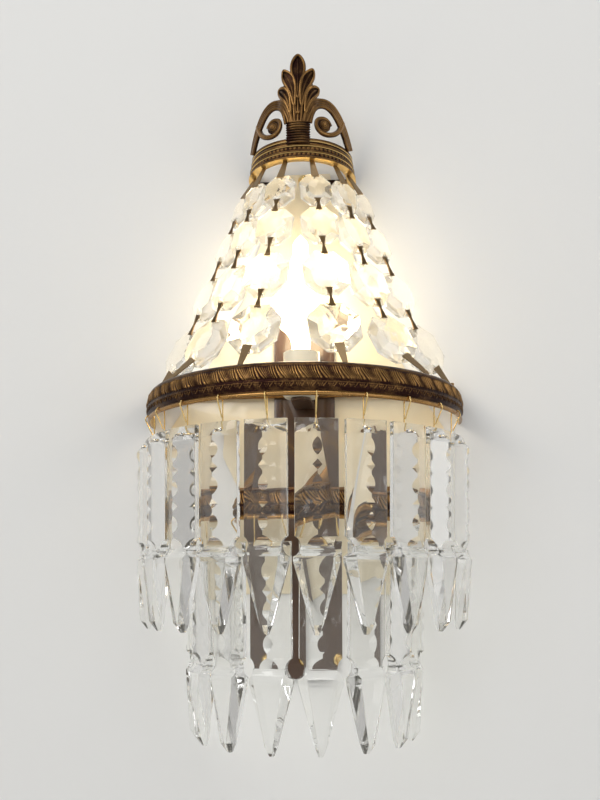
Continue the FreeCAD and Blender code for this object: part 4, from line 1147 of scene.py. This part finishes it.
    def wrap(self, work: bmesh.types.BMesh) -> None:
        """Bend the flat ornament round the crown, so that its middle stands upright and the scrolls lean in.

        Args:
            work: the ornament in mm: X is the way round, Y the height above the band, Z the way out.
        """
        for point in work.verts:
            along, up, out = point.co
            side = smooth_step(*self.lean_span, abs(along))
            lean = self.scroll_inset + self.scroll_lean * max(0.0, up) / self.scroll_height
            reach = self.radius - self.inset - side * lean + out
            turn = along / (self.radius - 1.5)
            point.co = Vector((reach * math.sin(turn), -self.offset - reach * math.cos(turn),
                               self.bottom + self.height + up)) * MM

    def lobe(self, tip: tuple, half: float, root: tuple, lean: float) -> tuple:
        """Draw one palmette leaf as a closed chain, and its middle vein.

        Args:
            tip: (x, up) of the leaf's point in mm.
            half: half of its width.
            root: (x, up) where it leaves the neck.
            lean: how far its middle bows outwards.

        Returns:
            The outline's points and the vein's points, flat.
        """
        start, end = Vector(root), Vector(tip)
        way = end - start
        side = Vector((way.y, -way.x)).normalized()
        shares = (0.0, 0.25, 0.5, 0.7, 0.86, 0.96)
        widths = (0.16, 0.3, 0.72, 1.0, 0.78, 0.35)
        bow = [start + way * share + side * (lean * math.sin(math.pi * share)) for share in shares]
        right = [place + side * half * wide for place, wide in zip(bow, widths)]
        left = [place - side * half * wide for place, wide in zip(bow, widths)]
        return right + [end] + left[::-1], bow[:-1] + [start + way * 0.9]

    def build_cresting(self, finishes: Finishes) -> None:
        """Draw the palmette, neck and scrolls flat, and bend them round the crown.

        Args:
            finishes: the lamp's materials.
        """
        work = bmesh.new()
        self.add_backing(work)
        leaves = [self.middle_leaf]
        for side in Side:
            sign = side.value
            for (across, up), half, (start, low), lean, lift in self.side_leaves:
                leaves.append(((sign * across, up), half, (sign * start, low), lean * sign, lift))
        for tip, half, root, lean, lift in leaves:
            self.add_leaf(work, self.lobe(tip, half, root, lean), lift)
        self.add_neck(work)
        for side in Side:
            self.add_scroll(work, side)
        bmesh.ops.recalc_face_normals(work, faces=work.faces)
        layer = store_gold_share(work, 0.3)
        # painted highlight: the raised leaves, reeds and bosses get gold, the backing stays dark
        for point in work.verts:
            point[layer] = 0.02 + 0.56 * smooth_step(0.7, 2.3, point.co.z)
        self.wrap(work)
        self.add_foot(work)
        cresting = add_piece("crown_cresting_cast", work, [finishes["crown"]], crease=50.0)
        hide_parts("crown_cresting")

    def add_plate(self, work: bmesh.types.BMesh, rim: list, high: float, low: float) -> None:
        """Add a flat plate inside a closed outline.

        Args:
            work: the mesh.
            rim: the outline's points.
            high: level of its front.
            low: level of its back.
        """
        corners = [work.verts.new((place[0], place[1], high)) for place in rim]
        face = bmesh.ops.contextual_create(work, geom=corners)["faces"]
        bmesh.ops.triangulate(work, faces=face)
        face = list(dict.fromkeys(near for corner in corners for near in corner.link_faces))
        grown = bmesh.ops.extrude_face_region(work, geom=face)["geom"]
        moved = [item for item in grown if isinstance(item, bmesh.types.BMVert)]
        bmesh.ops.translate(work, vec=(0, 0, low - high), verts=moved)

    def add_backing(self, work: bmesh.types.BMesh) -> None:
        """Add the plate behind the leaves, which closes the gaps between them.

        Args:
            work: the flat ornament's mesh.
        """
        right = [(7.0, 1.0), (7.0, 14.0), (8.6, 21.0), (11.6, 29.5), (14.0, 37.0), (11.4, 39.5),
                 (9.6, 38.5), (10.2, 46.0), (9.0, 50.5), (5.4, 46.0), (4.4, 54.0), (2.0, 61.0)]
        left = [(-x, up) for x, up in reversed(right)]
        self.add_plate(work, right + left, -0.3, -1.8)

    def add_leaf(self, work: bmesh.types.BMesh, outline: tuple, lift: float) -> None:
        """Add one leaf of the palmette: a dished plate, a raised rim and a vein.

        Args:
            work: the flat ornament's mesh.
            outline: the leaf's rim and its vein.
            lift: how far it stands before the leaf beside it, in mm.
        """
        rim, vein = outline
        count = len(rim)
        add_tube(work, [(place.x, place.y, 0.7 + lift) for place in rim], [1.05] * count, closed=True)
        add_tube(work, [(place.x, place.y, 0.3 + lift) for place in vein],
                 [0.95 - 0.5 * index / len(vein) for index in range(len(vein))])
        self.add_plate(work, rim, 0.1 + lift, -1.7)

    def add_neck(self, work: bmesh.types.BMesh) -> None:
        """Add the neck: its core, the fan of ribs above, the rings across it and a small rivet.

        Args:
            work: the flat ornament's mesh.
        """
        half = self.neck_half
        for low, high, front, back in ((-5.0, 0.0, 0.6, -0.6), (-0.5, 24.0, 0.4, -1.8)):
            add_box(work, (half * 2 - 1.0, high - low, front - back),
                    (0, (low + high) / 2, (front + back) / 2))
        ribs = 7
        for index in range(ribs):
            share = index / (ribs - 1) * 2 - 1
            place = share * (half - 1.0)
            fan = 1.0 + 0.9 * abs(share)
            route = [(place * 0.92, 11.5, 0.7), (place * 1.02, 19.0, 1.0), (place * fan * 1.08, 26.5, 1.1),
                     (place * fan * 1.1, 32.0, 0.8)]
            add_tube(work, route, [1.05, 1.0, 0.8, 0.3])
        for index in range(ribs - 1):
            place = ((index + 0.5) / (ribs - 1) * 2 - 1) * (half - 1.0)
            route = [(place * 0.95, 13.0, 0.3), (place * 1.25, 20.0, 0.7), (place * 1.8, 28.0, 0.9),
                     (place * 2.1, 33.5, 0.6)]
            add_tube(work, route, [0.9, 0.8, 0.6, 0.25])
        for up, bulge in ((-3.9, 1.0), (-1.7, 0.8), (0.3, 0.7), (2.3, 0.6), (4.3, 0.6), (6.2, 0.9),
                          (8.0, 1.3), (9.8, 1.3), (11.6, 1.4)):
            route = [(-half, up, -0.6), (-half * 0.8, up + 0.2, bulge), (half * 0.8, up + 0.2, bulge),
                     (half, up, -0.6)]
            add_tube(work, route, [0.75, 0.95, 0.95, 0.75])
        add_ball(work, 1.4, (0, 18.1, 1.9), 16, 10)

    def add_foot(self, work: bmesh.types.BMesh) -> None:
        """Add the flat foot inside the band, which the cresting's screw goes through.

        Args:
            work: the cresting's mesh, bent and in place.
        """
        across, out, under = self.foot_place
        add_box(work, tuple(value * MM for value in self.foot),
                (across, out * MM, (self.bottom + self.height - under) * MM))

    def add_scroll(self, work: bmesh.types.BMesh, side: Side) -> None:
        """Add one scroll arm of four reeds that rolls into a curl round a ringed boss.

        Args:
            work: the flat ornament's mesh.
            side: which side of the lamp it is on.
        """
        sign = side.value
        places = [Vector(place) for place in self.arm]
        for shift, radius, lift in self.reeds:
            points, radii = [], []
            for index, place in enumerate(places):
                ahead = places[min(index + 1, len(places) - 1)] - places[max(index - 1, 0)]
                normal = Vector((-ahead.y, ahead.x)).normalized()
                spot = place + normal * shift * (0.75 + 0.05 * index)
                points.append((sign * spot.x, spot.y, lift))
                radii.append(radius * (0.85 + 0.04 * index))
            add_tube(work, points, radii)
        count = len(self.curl)
        thinning = [2.2 - 0.9 * index / count for index in range(count)]
        add_tube(work, [(sign * across, up, 0.2) for across, up in self.curl], thinning)
        middle = (sign * self.boss[0], self.boss[1])
        for reach, thick, lift in self.boss_rings:
            ring = [(*spot, lift) for spot in self.circle(middle, reach, 10)]
            add_tube(work, ring, [thick] * len(ring), closed=True)
        self.add_plate(work, self.circle(middle, self.boss_rings[0][0], 16), 0.4, -1.2)
        add_ball(work, 1.1, (*middle, 1.4), 20, 12)

    def circle(self, middle: tuple, reach: float, count: int) -> list:
        """Points round a middle, in the flat ornament."""
        turns = [step * math.tau / count for step in range(count)]
        return [(middle[0] + reach * math.cos(turn), middle[1] + reach * math.sin(turn)) for turn in turns]

    def build(self, finishes: Finishes) -> None:
        """Make both pieces of the crown."""
        self.build_band(finishes)
        self.build_cresting(finishes)


# Screws
@dataclass
class SlottedScrew:
    """A domed screw with a slot and a threaded shank, along +Y with its head towards -Y.

    Sizes are in mm: the shank's radius and length, the head's radius and dome, the slot's width, the thread's
    pitch, the plain length above the thread and the thicker neck, where there is one.
    """

    radius: float
    length: float
    head: float
    dome: float
    slot: float = 0.8
    pitch: float = 1.5
    plain: float = 1.0
    neck: float = 0.0
    neck_length: float = 0.0
    thread_root: float = 0.78

    def outline(self) -> list:
        """Lay out half of the screw, from the top of its dome to its point.

        Returns:
            Points as (radius, distance along the screw) in mm.
        """
        ball = (self.head ** 2 + self.dome ** 2) / (2 * self.dome)
        dome_steps = 8
        points = [(0.0, -self.dome)]
        for index in range(1, dome_steps + 1):
            reach = self.head * 0.985 * index / dome_steps
            points.append((reach, ball - self.dome - math.sqrt(ball * ball - reach * reach)))
        points += [(self.head, -0.12), (self.head * 0.99, 0.0)]
        if self.neck:
            points += [(self.neck, 0.0), (self.neck, self.neck_length), (self.radius, self.plain)]
        else:
            points += [(self.radius, 0.0), (self.radius, self.plain)]
        halves = max(1, int((self.length - self.plain) / self.pitch * 2))
        for index in range(halves):
            along = self.plain + (self.length - self.plain) * (index + 1) / halves
            points.append((self.radius * (self.thread_root if index % 2 == 0 else 1.0), along))
        points.append((0.0, self.length + self.radius))
        return points

    def cut_slot(self, screw: bmesh.types.BMesh) -> None:
        """Sink the slot into the head.

        Args:
            screw: the screw's mesh, about the origin.
        """
        half = self.slot / 2 * MM
        for sign in (-1, 1):
            bmesh.ops.bisect_plane(screw, geom=screw.verts[:] + screw.edges[:] + screw.faces[:], dist=1e-7,
                                   plane_co=(sign * half, 0, 0), plane_no=(1, 0, 0))
        top = [face for face in screw.faces if abs(face.calc_center_median().x) < half
               and face.calc_center_median().y < -0.15 * MM and face.normal.y < -0.2]
        grown = bmesh.ops.extrude_face_region(screw, geom=top)["geom"]
        floor = (-self.dome * 0.45) * MM
        for item in grown:
            if isinstance(item, bmesh.types.BMVert):
                item.co.y = max(item.co.y, floor)
        bmesh.ops.delete(screw, geom=top, context="FACES")

    def add_to(self, work: bmesh.types.BMesh, place: tuple, turn: float, about: bool = False) -> None:
        """Add the screw to a mesh.

        Args:
            work: the mesh.
            place: where the head's underside stands, in mm.
            turn: direction of the slot in degrees.
            about: whether the screw is turned about, with its head towards +Y.
        """
        screw = bmesh.new()
        points = [screw.verts.new((reach * MM, along * MM, 0)) for reach, along in self.outline()]
        chain = [screw.edges.new(pair) for pair in zip(points, points[1:])]
        bmesh.ops.spin(screw, geom=points + chain, cent=(0, 0, 0), axis=(0, 1, 0), angle=math.tau, steps=32,
                       use_merge=True, use_duplicate=False)
        bmesh.ops.remove_doubles(screw, verts=screw.verts, dist=1e-6)
        bmesh.ops.recalc_face_normals(screw, faces=screw.faces)
        self.cut_slot(screw)
        turning = Matrix.Rotation(math.radians(turn), 3, "Y")
        bmesh.ops.rotate(screw, cent=(0, 0, 0), matrix=turning, verts=screw.verts)
        if about:
            half_turn = Matrix.Rotation(math.pi, 3, "Z")
            bmesh.ops.rotate(screw, cent=(0, 0, 0), matrix=half_turn, verts=screw.verts)
        bmesh.ops.translate(screw, vec=Vector(place) * MM, verts=screw.verts)
        mesh = bpy.data.meshes.new("screw")
        screw.to_mesh(mesh)
        screw.free()
        work.from_mesh(mesh)
        bpy.data.meshes.remove(mesh)


@dataclass
class Fastenings:
    """All the screws of the lamp; heights and places are in mm."""

    frame_screw: SlottedScrew = field(default_factory=lambda: SlottedScrew(2.0, 3.5, 3.5, 2.2))
    frame_screw_across: float = 14.0
    frame_screw_heights: tuple = ((24.9, 35.0), (-49.1, -50.0))
    strap_front: float = -6.5
    arm_screw: SlottedScrew = field(default_factory=lambda: SlottedScrew(2.0, 5.5, 3.5, 2.2))
    arm_screw_place: tuple = (0.0, -8.5, 24.9)
    wall_screws: tuple = ((1.0, 192.0, 25.0), (4.0, -163.0, -15.0))
    wall_screw_length: float = 30.0
    lug_screw: SlottedScrew = field(default_factory=lambda: SlottedScrew(1.5, 1.1, 2.6, 1.6, 0.6))
    lug_screw_place: tuple = (17.5, -2.6, 187.0)
    foot_screw: SlottedScrew = field(default_factory=lambda: SlottedScrew(1.5, 3.7, 2.6, 1.6, 0.6))
    foot_screw_place: tuple = (0.0, -50.36, 194.0)

    def frame_group(self) -> bmesh.types.BMesh:
        """Make the screws of the straps and of the lamp arm.

        Returns:
            Their mesh.
        """
        work = bmesh.new()
        for side in Side:
            for height, turn in self.frame_screw_heights:
                place = (side.value * self.frame_screw_across, self.strap_front, height)
                self.frame_screw.add_to(work, place, turn * side.value)
        self.arm_screw.add_to(work, self.arm_screw_place, 70.0)
        return work

    def wall_group(self) -> bmesh.types.BMesh:
        """Make the two wall screws, each with a smooth neck as long as what it holds is thick.

        Returns:
            Their mesh.
        """
        work = bmesh.new()
        for grip, height, turn in self.wall_screws:
            length = self.wall_screw_length + grip
            screw = SlottedScrew(2.0, length, 4.5, 3.4, 1.1, 1.8, grip + 1.0, neck=2.7, neck_length=grip)
            screw.add_to(work, (0.0, -grip, height), turn)
        return work

    def crown_group(self) -> bmesh.types.BMesh:
        """Make the screws of the crown's two lugs and of its cresting's foot.

        Returns:
            Their mesh.
        """
        work = bmesh.new()
        across, out, height = self.lug_screw_place
        for side in Side:
            self.lug_screw.add_to(work, (side.value * across, out, height), 60.0 * side.value)
        self.foot_screw.add_to(work, self.foot_screw_place, 10.0, about=True)
        return work

    def build(self, finishes: Finishes) -> None:
        """Make the three groups of screws, each in the place of its node.

        Args:
            finishes: the lamp's materials.
        """
        for node, work in (("frame_screws", self.frame_group()), ("wall_screws", self.wall_group()),
                           ("crown_screws", self.crown_group())):
            piece = add_piece(node + "_slotted", work, [finishes["bright"]], crease=40.0)
            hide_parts(node)


# Crystals
@dataclass
class Prisms:
    """The notched spear prisms of both tiers; sizes are in mm, and sharp is an angle in degrees."""

    tiers: tuple = (("upper", 10), ("lower", 8))
    sharp: float = 24.0
    long_edge: float = 1.1
    long_least: float = 20.0
    short_edge: float = 0.45

    def build(self, frame: dict, finishes: Finishes) -> int:
        """Cut each prism's edges.

        Args:
            frame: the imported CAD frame.
            finishes: the lamp's materials.

        Returns:
            How many prisms were made.
        """
        made = 0
        for tier, count in self.tiers:
            for index in range(count):
                label = "%s_prism_%02d" % (tier, index + 1)
                body = "%s_drop_%02d" % (tier, index + 1)
                work = merged_copy(frame["nodes"][label])
                soften(work, self.long_edge * MM, 1, self.sharp, least=self.long_least * MM, finish=1)
                soften(work, self.short_edge * MM, 1, self.sharp, finish=1)
                looks = [finishes["crystal"], finishes["edge"]]
                piece = add_piece(label + "_cut", work, looks, body, crease=None)
                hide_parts(label)
                made += 1
        return made


@dataclass
class Strands:
    """Six strands of octagonal crystals, with their pins, hooks and feet; sizes are in mm."""

    rows: tuple = ("first", "second", "third", "fourth")
    table_rise: float = 0.9
    facet: float = 0.3
    link_edge: float = 0.12
    links: tuple = (("strand_pins", "dull", "dark_brass"), ("strand_hooks", "link", "antique_brass"),
                    ("strand_feet", "link", "antique_brass"))
    waist: float = 0.32
    waist_cuts: tuple = (0.0, -0.25, 0.25, -0.5, 0.5, -0.75, 0.75)

    def build(self, frame: dict, finishes: Finishes) -> None:
        """Facet the crystals and shape the links.

        Args:
            frame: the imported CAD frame.
            finishes: the lamp's materials.
        """
        for row in self.rows:
            node = "octagons_%s_row" % row
            work = merged_copy(frame["nodes"][node])
            tables = [face for face in work.faces if len(face.verts) == 8 and self.is_table(face)]
            bmesh.ops.poke(work, faces=tables, offset=self.table_rise * MM, center_mode="MEAN")
            soften(work, self.facet * MM, 1, sharp=14.0)
            piece = add_piece(node + "_cut", work, [finishes["bead"]], crease=None)
            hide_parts(node)
        for node, finish, slot in self.links:
            work = merged_copy(frame["nodes"][node])
            if node == "strand_pins":
                self.pinch(work)
            soften(work, self.link_edge * MM, 1, sharp=40.0)
            piece = add_piece(node + "_shaped", work, [finishes[finish]])
            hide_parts(node)

    def is_table(self, face: bmesh.types.BMFace) -> bool:
        """Whether an eight-sided face is a crystal's flat table, whose sides are of like length."""
        sides = [edge.calc_length() for edge in face.edges]
        return max(sides) < 3.5 * min(sides) and face.calc_area() > 30e-6

    def strips(self, work: bmesh.types.BMesh) -> list:
        """Sort a mesh's points by the strip that they belong to.

        Args:
            work: all the strips.

        Returns:
            One list of points for each strip.
        """
        left = set(work.verts)
        islands = []
        for seed in work.verts:
            if seed not in left:
                continue
            left.remove(seed)
            stack, island = [seed], []
            while stack:
                point = stack.pop()
                island.append(point)
                near = [edge.other_vert(point) for edge in point.link_edges]
                fresh = [other for other in near if other in left]
                left.difference_update(fresh)
                stack += fresh
            islands.append(island)
        return islands

    def pinch(self, work: bmesh.types.BMesh) -> None:
        """Narrow the middle of every strip to a bow-tie.

        Args:
            work: all the strips.
        """
        for island in self.strips(work):
            flat = max((face for point in island for face in point.link_faces),
                       key=lambda face: face.calc_area())
            longest = max(flat.edges, key=lambda edge: edge.calc_length())
            way = (longest.verts[1].co - longest.verts[0].co).normalized()
            across = flat.normal.cross(way).normalized()
            middle = flat.calc_center_median()
            half = longest.calc_length() / 2
            for share in self.waist_cuts:
                near = (face for point in island if point.is_valid for face in point.link_faces)
                faces = list(dict.fromkeys(near))
                edges = list(dict.fromkeys(edge for face in faces for edge in face.edges))
                points = list(dict.fromkeys(point for face in faces for point in face.verts))
                cut = bmesh.ops.bisect_plane(work, geom=points + edges + faces, dist=1e-7,
                                             plane_co=middle + way * half * share, plane_no=way)
                fresh = [item for item in cut["geom_cut"] if isinstance(item, bmesh.types.BMVert)]
                island = list(dict.fromkeys(points + fresh))
                keep = self.waist + (1 - self.waist) * math.sin(math.pi * abs(share)) ** 0.8
                for point in fresh:
                    off = (point.co - middle).dot(across)
                    point.co -= across * off * (1 - keep)


# Other fittings
@dataclass
class Fittings:
    """Plate, bar, lamp arm, holder, bulb and wiring; sizes and places are in mm."""

    bevels: tuple = (("reflector_plate", 0.25, "plate", "cream_enamel"),
                     ("centre_bar", 0.5, "bar", "bronze_paint"), ("lamp_arm", 0.4, "bar", "bronze_paint"),
                     ("holder_body", 0.5, "holder", "holder_resin"),
                     ("terminal_block", 0.5, "block", "block_resin"),
                     ("holder_contacts", 0.12, "bright", "bright_brass"))
    smooth: tuple = (("lead_wires", "lead", "lead_sleeve"), ("bulb_glass", "bulb", "bulb_glass"),
                     ("bulb_filament", "filament", "filament"))
    cap_place: tuple = (0.0, -36.0, 22.5)
    cap_radius: float = 7.0
    cap_height: float = 22.0
    cap_turns: int = 5
    block_bottom: float = 38.0
    block_height: float = 14.0
    block_front: float = -12.0
    bore_across: float = 4.0

    def build(self, frame: dict, finishes: Finishes) -> None:
        """Soften the plain fittings and add what they carry.

        Args:
            frame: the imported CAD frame.
            finishes: the lamp's materials.
        """
        for node, width, finish, slot in self.bevels:
            work = merged_copy(frame["nodes"][node])
            soften(work, width * MM, sharp=35.0)
            piece = add_piece(node + "_softened", work, [finishes[finish]])
            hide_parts(node)
        for node, finish, slot in self.smooth:
            work = merged_copy(frame["nodes"][node])
            piece = add_piece(node + "_smooth", work, [finishes[finish]], crease=50.0)
            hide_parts(node)
        self.build_cap(finishes)
        self.build_block_screws(finishes)

    def build_cap(self, finishes: Finishes) -> None:
        """Make the bulb's screw base with its rolled thread and bottom contact.

        Args:
            finishes: the lamp's materials.
        """
        radius, tall = self.cap_radius, self.cap_height
        profile = [(0.0, 0.0), (3.2, 0.0), (3.9, 0.5), (4.0, 1.0), (6.2, tall * 0.15), (6.4, tall * 0.18)]
        steps = self.cap_turns * 8
        for index in range(steps + 1):
            share = index / steps
            wave = 0.5 - 0.5 * math.cos(math.tau * self.cap_turns * share)
            profile.append((radius - 0.62 + 0.6 * wave, tall * (0.2 + 0.62 * share)))
        profile += [(radius - 0.1, tall * 0.86), (radius, tall * 0.9), (radius, tall), (radius - 0.5, tall),
                    (radius - 0.7, tall * 0.25), (0.0, tall * 0.25)]
        work = turned([(reach * MM, up * MM) for reach, up in profile], 40,
                      tuple(value * MM for value in self.cap_place))
        piece = add_piece("bulb_cap_threaded", work, [finishes["cap"]], crease=40.0)
        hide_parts("bulb_cap")

    def build_block_screws(self, finishes: Finishes) -> None:
        """Make four clamp screws in the bores of the terminal block.

        Args:
            finishes: the lamp's materials.
        """
        work = bmesh.new()
        screw = SlottedScrew(1.3, 1.6, 1.6, 0.6, 0.45, 0.8, 0.3)
        for side in Side:
            for share, turn in ((0.25, 15.0), (0.75, 80.0)):
                height = self.block_bottom + self.block_height * share
                screw.add_to(work, (side.value * self.bore_across, self.block_front, height), turn)
        add_piece("terminal_clamp_screws", work, [finishes["bright"]], crease=40.0)


# Room, lights and camera
@dataclass
class Studio:
    """A pale wall and floor, soft lamps and the camera of the picture.

    Places and sizes are in metres and angles in radians. The focal length and the frame's height are in
    pixels.
    """

    wall_colour: tuple = (0.80, 0.80, 0.79)
    wall_rough: float = 0.9
    wall_gap: float = 0.0006
    wall_size: float = 2.0
    wall_middle: float = 1.5
    floor_size: float = 2.5
    floor_height: float = -0.5
    lamps: tuple = (("key", (-1.1, -1.6, 0.9), 1.0, 12.0), ("fill", (1.4, -1.3, 0.2), 1.0, 5.0),
                    ("top", (0.1, -0.7, 1.5), 0.7, 4.0))
    lamp_aim: tuple = (0.0, -0.05, 0.05)
    room_colour: tuple = (0.84, 0.83, 0.81)
    room_light: float = 0.55
    camera_place: tuple = (0.0482, -0.6464, -0.1114)
    pitch: float = 0.200
    yaw: float = -0.0798
    roll: float = -0.002
    focal: float = 903.0
    frame_height: float = 800.0
    film_height: float = 24.0

    def pale_material(self, name: str, one_sided: bool) -> bpy.types.Material:
        """Make the matt pale paint of the wall and the floor.

        Args:
            name: the material's name.
            one_sided: whether its back is clear, so that the lamp is seen from behind.

        Returns:
            The material.
        """
        material = bpy.data.materials.new(name)
        material.use_nodes = True
        tree = NodeTree(material.node_tree)
        surface = material.node_tree.nodes["Principled BSDF"]
        surface.inputs["Base Color"].default_value = (*self.wall_colour, 1.0)
        surface.inputs["Roughness"].default_value = self.wall_rough
        if one_sided:
            clear = tree.add("ShaderNodeBsdfTransparent")
            pick = tree.add("ShaderNodeMixShader")
            tree.join(tree.add("ShaderNodeNewGeometry").outputs["Backfacing"], pick.inputs[0])
            tree.join(surface.outputs[0], pick.inputs[1])
            tree.join(clear.outputs[0], pick.inputs[2])
            tree.join(pick.outputs[0], material.node_tree.nodes["Material Output"].inputs["Surface"])
        return material

    def build_panels(self) -> None:
        """Make the wall behind the lamp, seen only from the front, and the floor below."""
        upright = Matrix.Rotation(math.radians(90), 3, "X")
        wall = bmesh.new()
        bmesh.ops.create_grid(wall, x_segments=1, y_segments=1, size=self.wall_size)
        bmesh.ops.rotate(wall, cent=(0, 0, 0), matrix=upright, verts=wall.verts)
        bmesh.ops.translate(wall, vec=(0, self.wall_gap, self.wall_middle), verts=wall.verts)
        floor = bmesh.new()
        bmesh.ops.create_grid(floor, x_segments=1, y_segments=1, size=self.floor_size)
        bmesh.ops.translate(floor, vec=(0, 0, self.floor_height), verts=floor.verts)
        for name, work, one_sided in (("wall", wall, True), ("floor", floor, False)):
            mesh = bpy.data.meshes.new(name)
            work.to_mesh(mesh)
            work.free()
            mesh.materials.append(self.pale_material("pale_" + name, one_sided))
            panel = bpy.data.objects.new(name, mesh)
            bpy.context.scene.collection.objects.link(panel)

    def build_lamps(self) -> None:
        """Make soft lamps to the left, to the right and above, and an even grey surrounding."""
        for name, place, size, energy in self.lamps:
            lamp = bpy.data.lights.new(name, "AREA")
            lamp.shape = "SQUARE"
            lamp.size = size
            lamp.energy = energy
            holder = bpy.data.objects.new(name, lamp)
            holder.location = place
            aim = Vector(self.lamp_aim) - Vector(place)
            holder.rotation_euler = aim.to_track_quat("-Z", "Y").to_euler()
            bpy.context.scene.collection.objects.link(holder)
        world = bpy.data.worlds.new("room")
        world.use_nodes = True
        background = world.node_tree.nodes["Background"]
        background.inputs["Color"].default_value = (*self.room_colour, 1.0)
        background.inputs["Strength"].default_value = self.room_light
        bpy.context.scene.world = world

    def build_camera(self) -> None:
        """Make the camera of the picture, low and a little to the right, looking up."""
        level = math.cos(self.pitch)
        ahead = Vector((math.sin(self.yaw) * level, math.cos(self.yaw) * level, math.sin(self.pitch)))
        right = Vector((math.cos(self.yaw), -math.sin(self.yaw), 0.0))
        up = right.cross(ahead)
        turn = Matrix((right, up, -ahead)).transposed() @ Matrix.Rotation(self.roll, 3, "Z")
        lens = bpy.data.cameras.new("view")
        lens.sensor_fit = "VERTICAL"
        lens.sensor_height = self.film_height
        lens.lens = self.focal / self.frame_height * lens.sensor_height
        lens.clip_start = 0.01
        camera = bpy.data.objects.new("view", lens)
        camera.matrix_world = Matrix.Translation(self.camera_place) @ turn.to_4x4()
        bpy.context.scene.collection.objects.link(camera)
        bpy.context.scene.camera = camera

    def build(self) -> None:
        """Build the whole set."""
        self.build_camera()
        self.build_panels()
        self.build_lamps()
        bpy.context.scene.view_settings.view_transform = "Standard"


def finish_hooks(frame: dict, finishes: Finishes) -> None:
    """Give the wire hooks, which stay as they are packed, their brass.

    Args:
        frame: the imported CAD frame.
        finishes: the lamp's materials.
    """
    for label, node in frame["nodes"].items():
        if "_hook_" in label:
            node.data.materials.clear()
            node.data.materials.append(finishes["bright"])


def main() -> None:
    """Build the whole lamp."""
    logging.basicConfig(level=logging.INFO, format="%(relativeCreated)d %(message)s")
    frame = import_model()
    Studio().build()
    finishes = Finishes()
    for ring in (EmbossedRing("upper_ring", 114.0, 2.0, 22.0, 0.0, 0.0),
                 EmbossedRing("lower_ring", 77.52, 8.0, 20.0, 72.0, 1.0)):
        ring.build(finishes)
    Crown().build(finishes)
    Fastenings().build(finishes)
    Strands().build(frame, finishes)
    LOG.info("%d prisms", Prisms().build(frame, finishes))
    Fittings().build(frame, finishes)
    finish_hooks(frame, finishes)


if __name__ == "__main__":
    main()
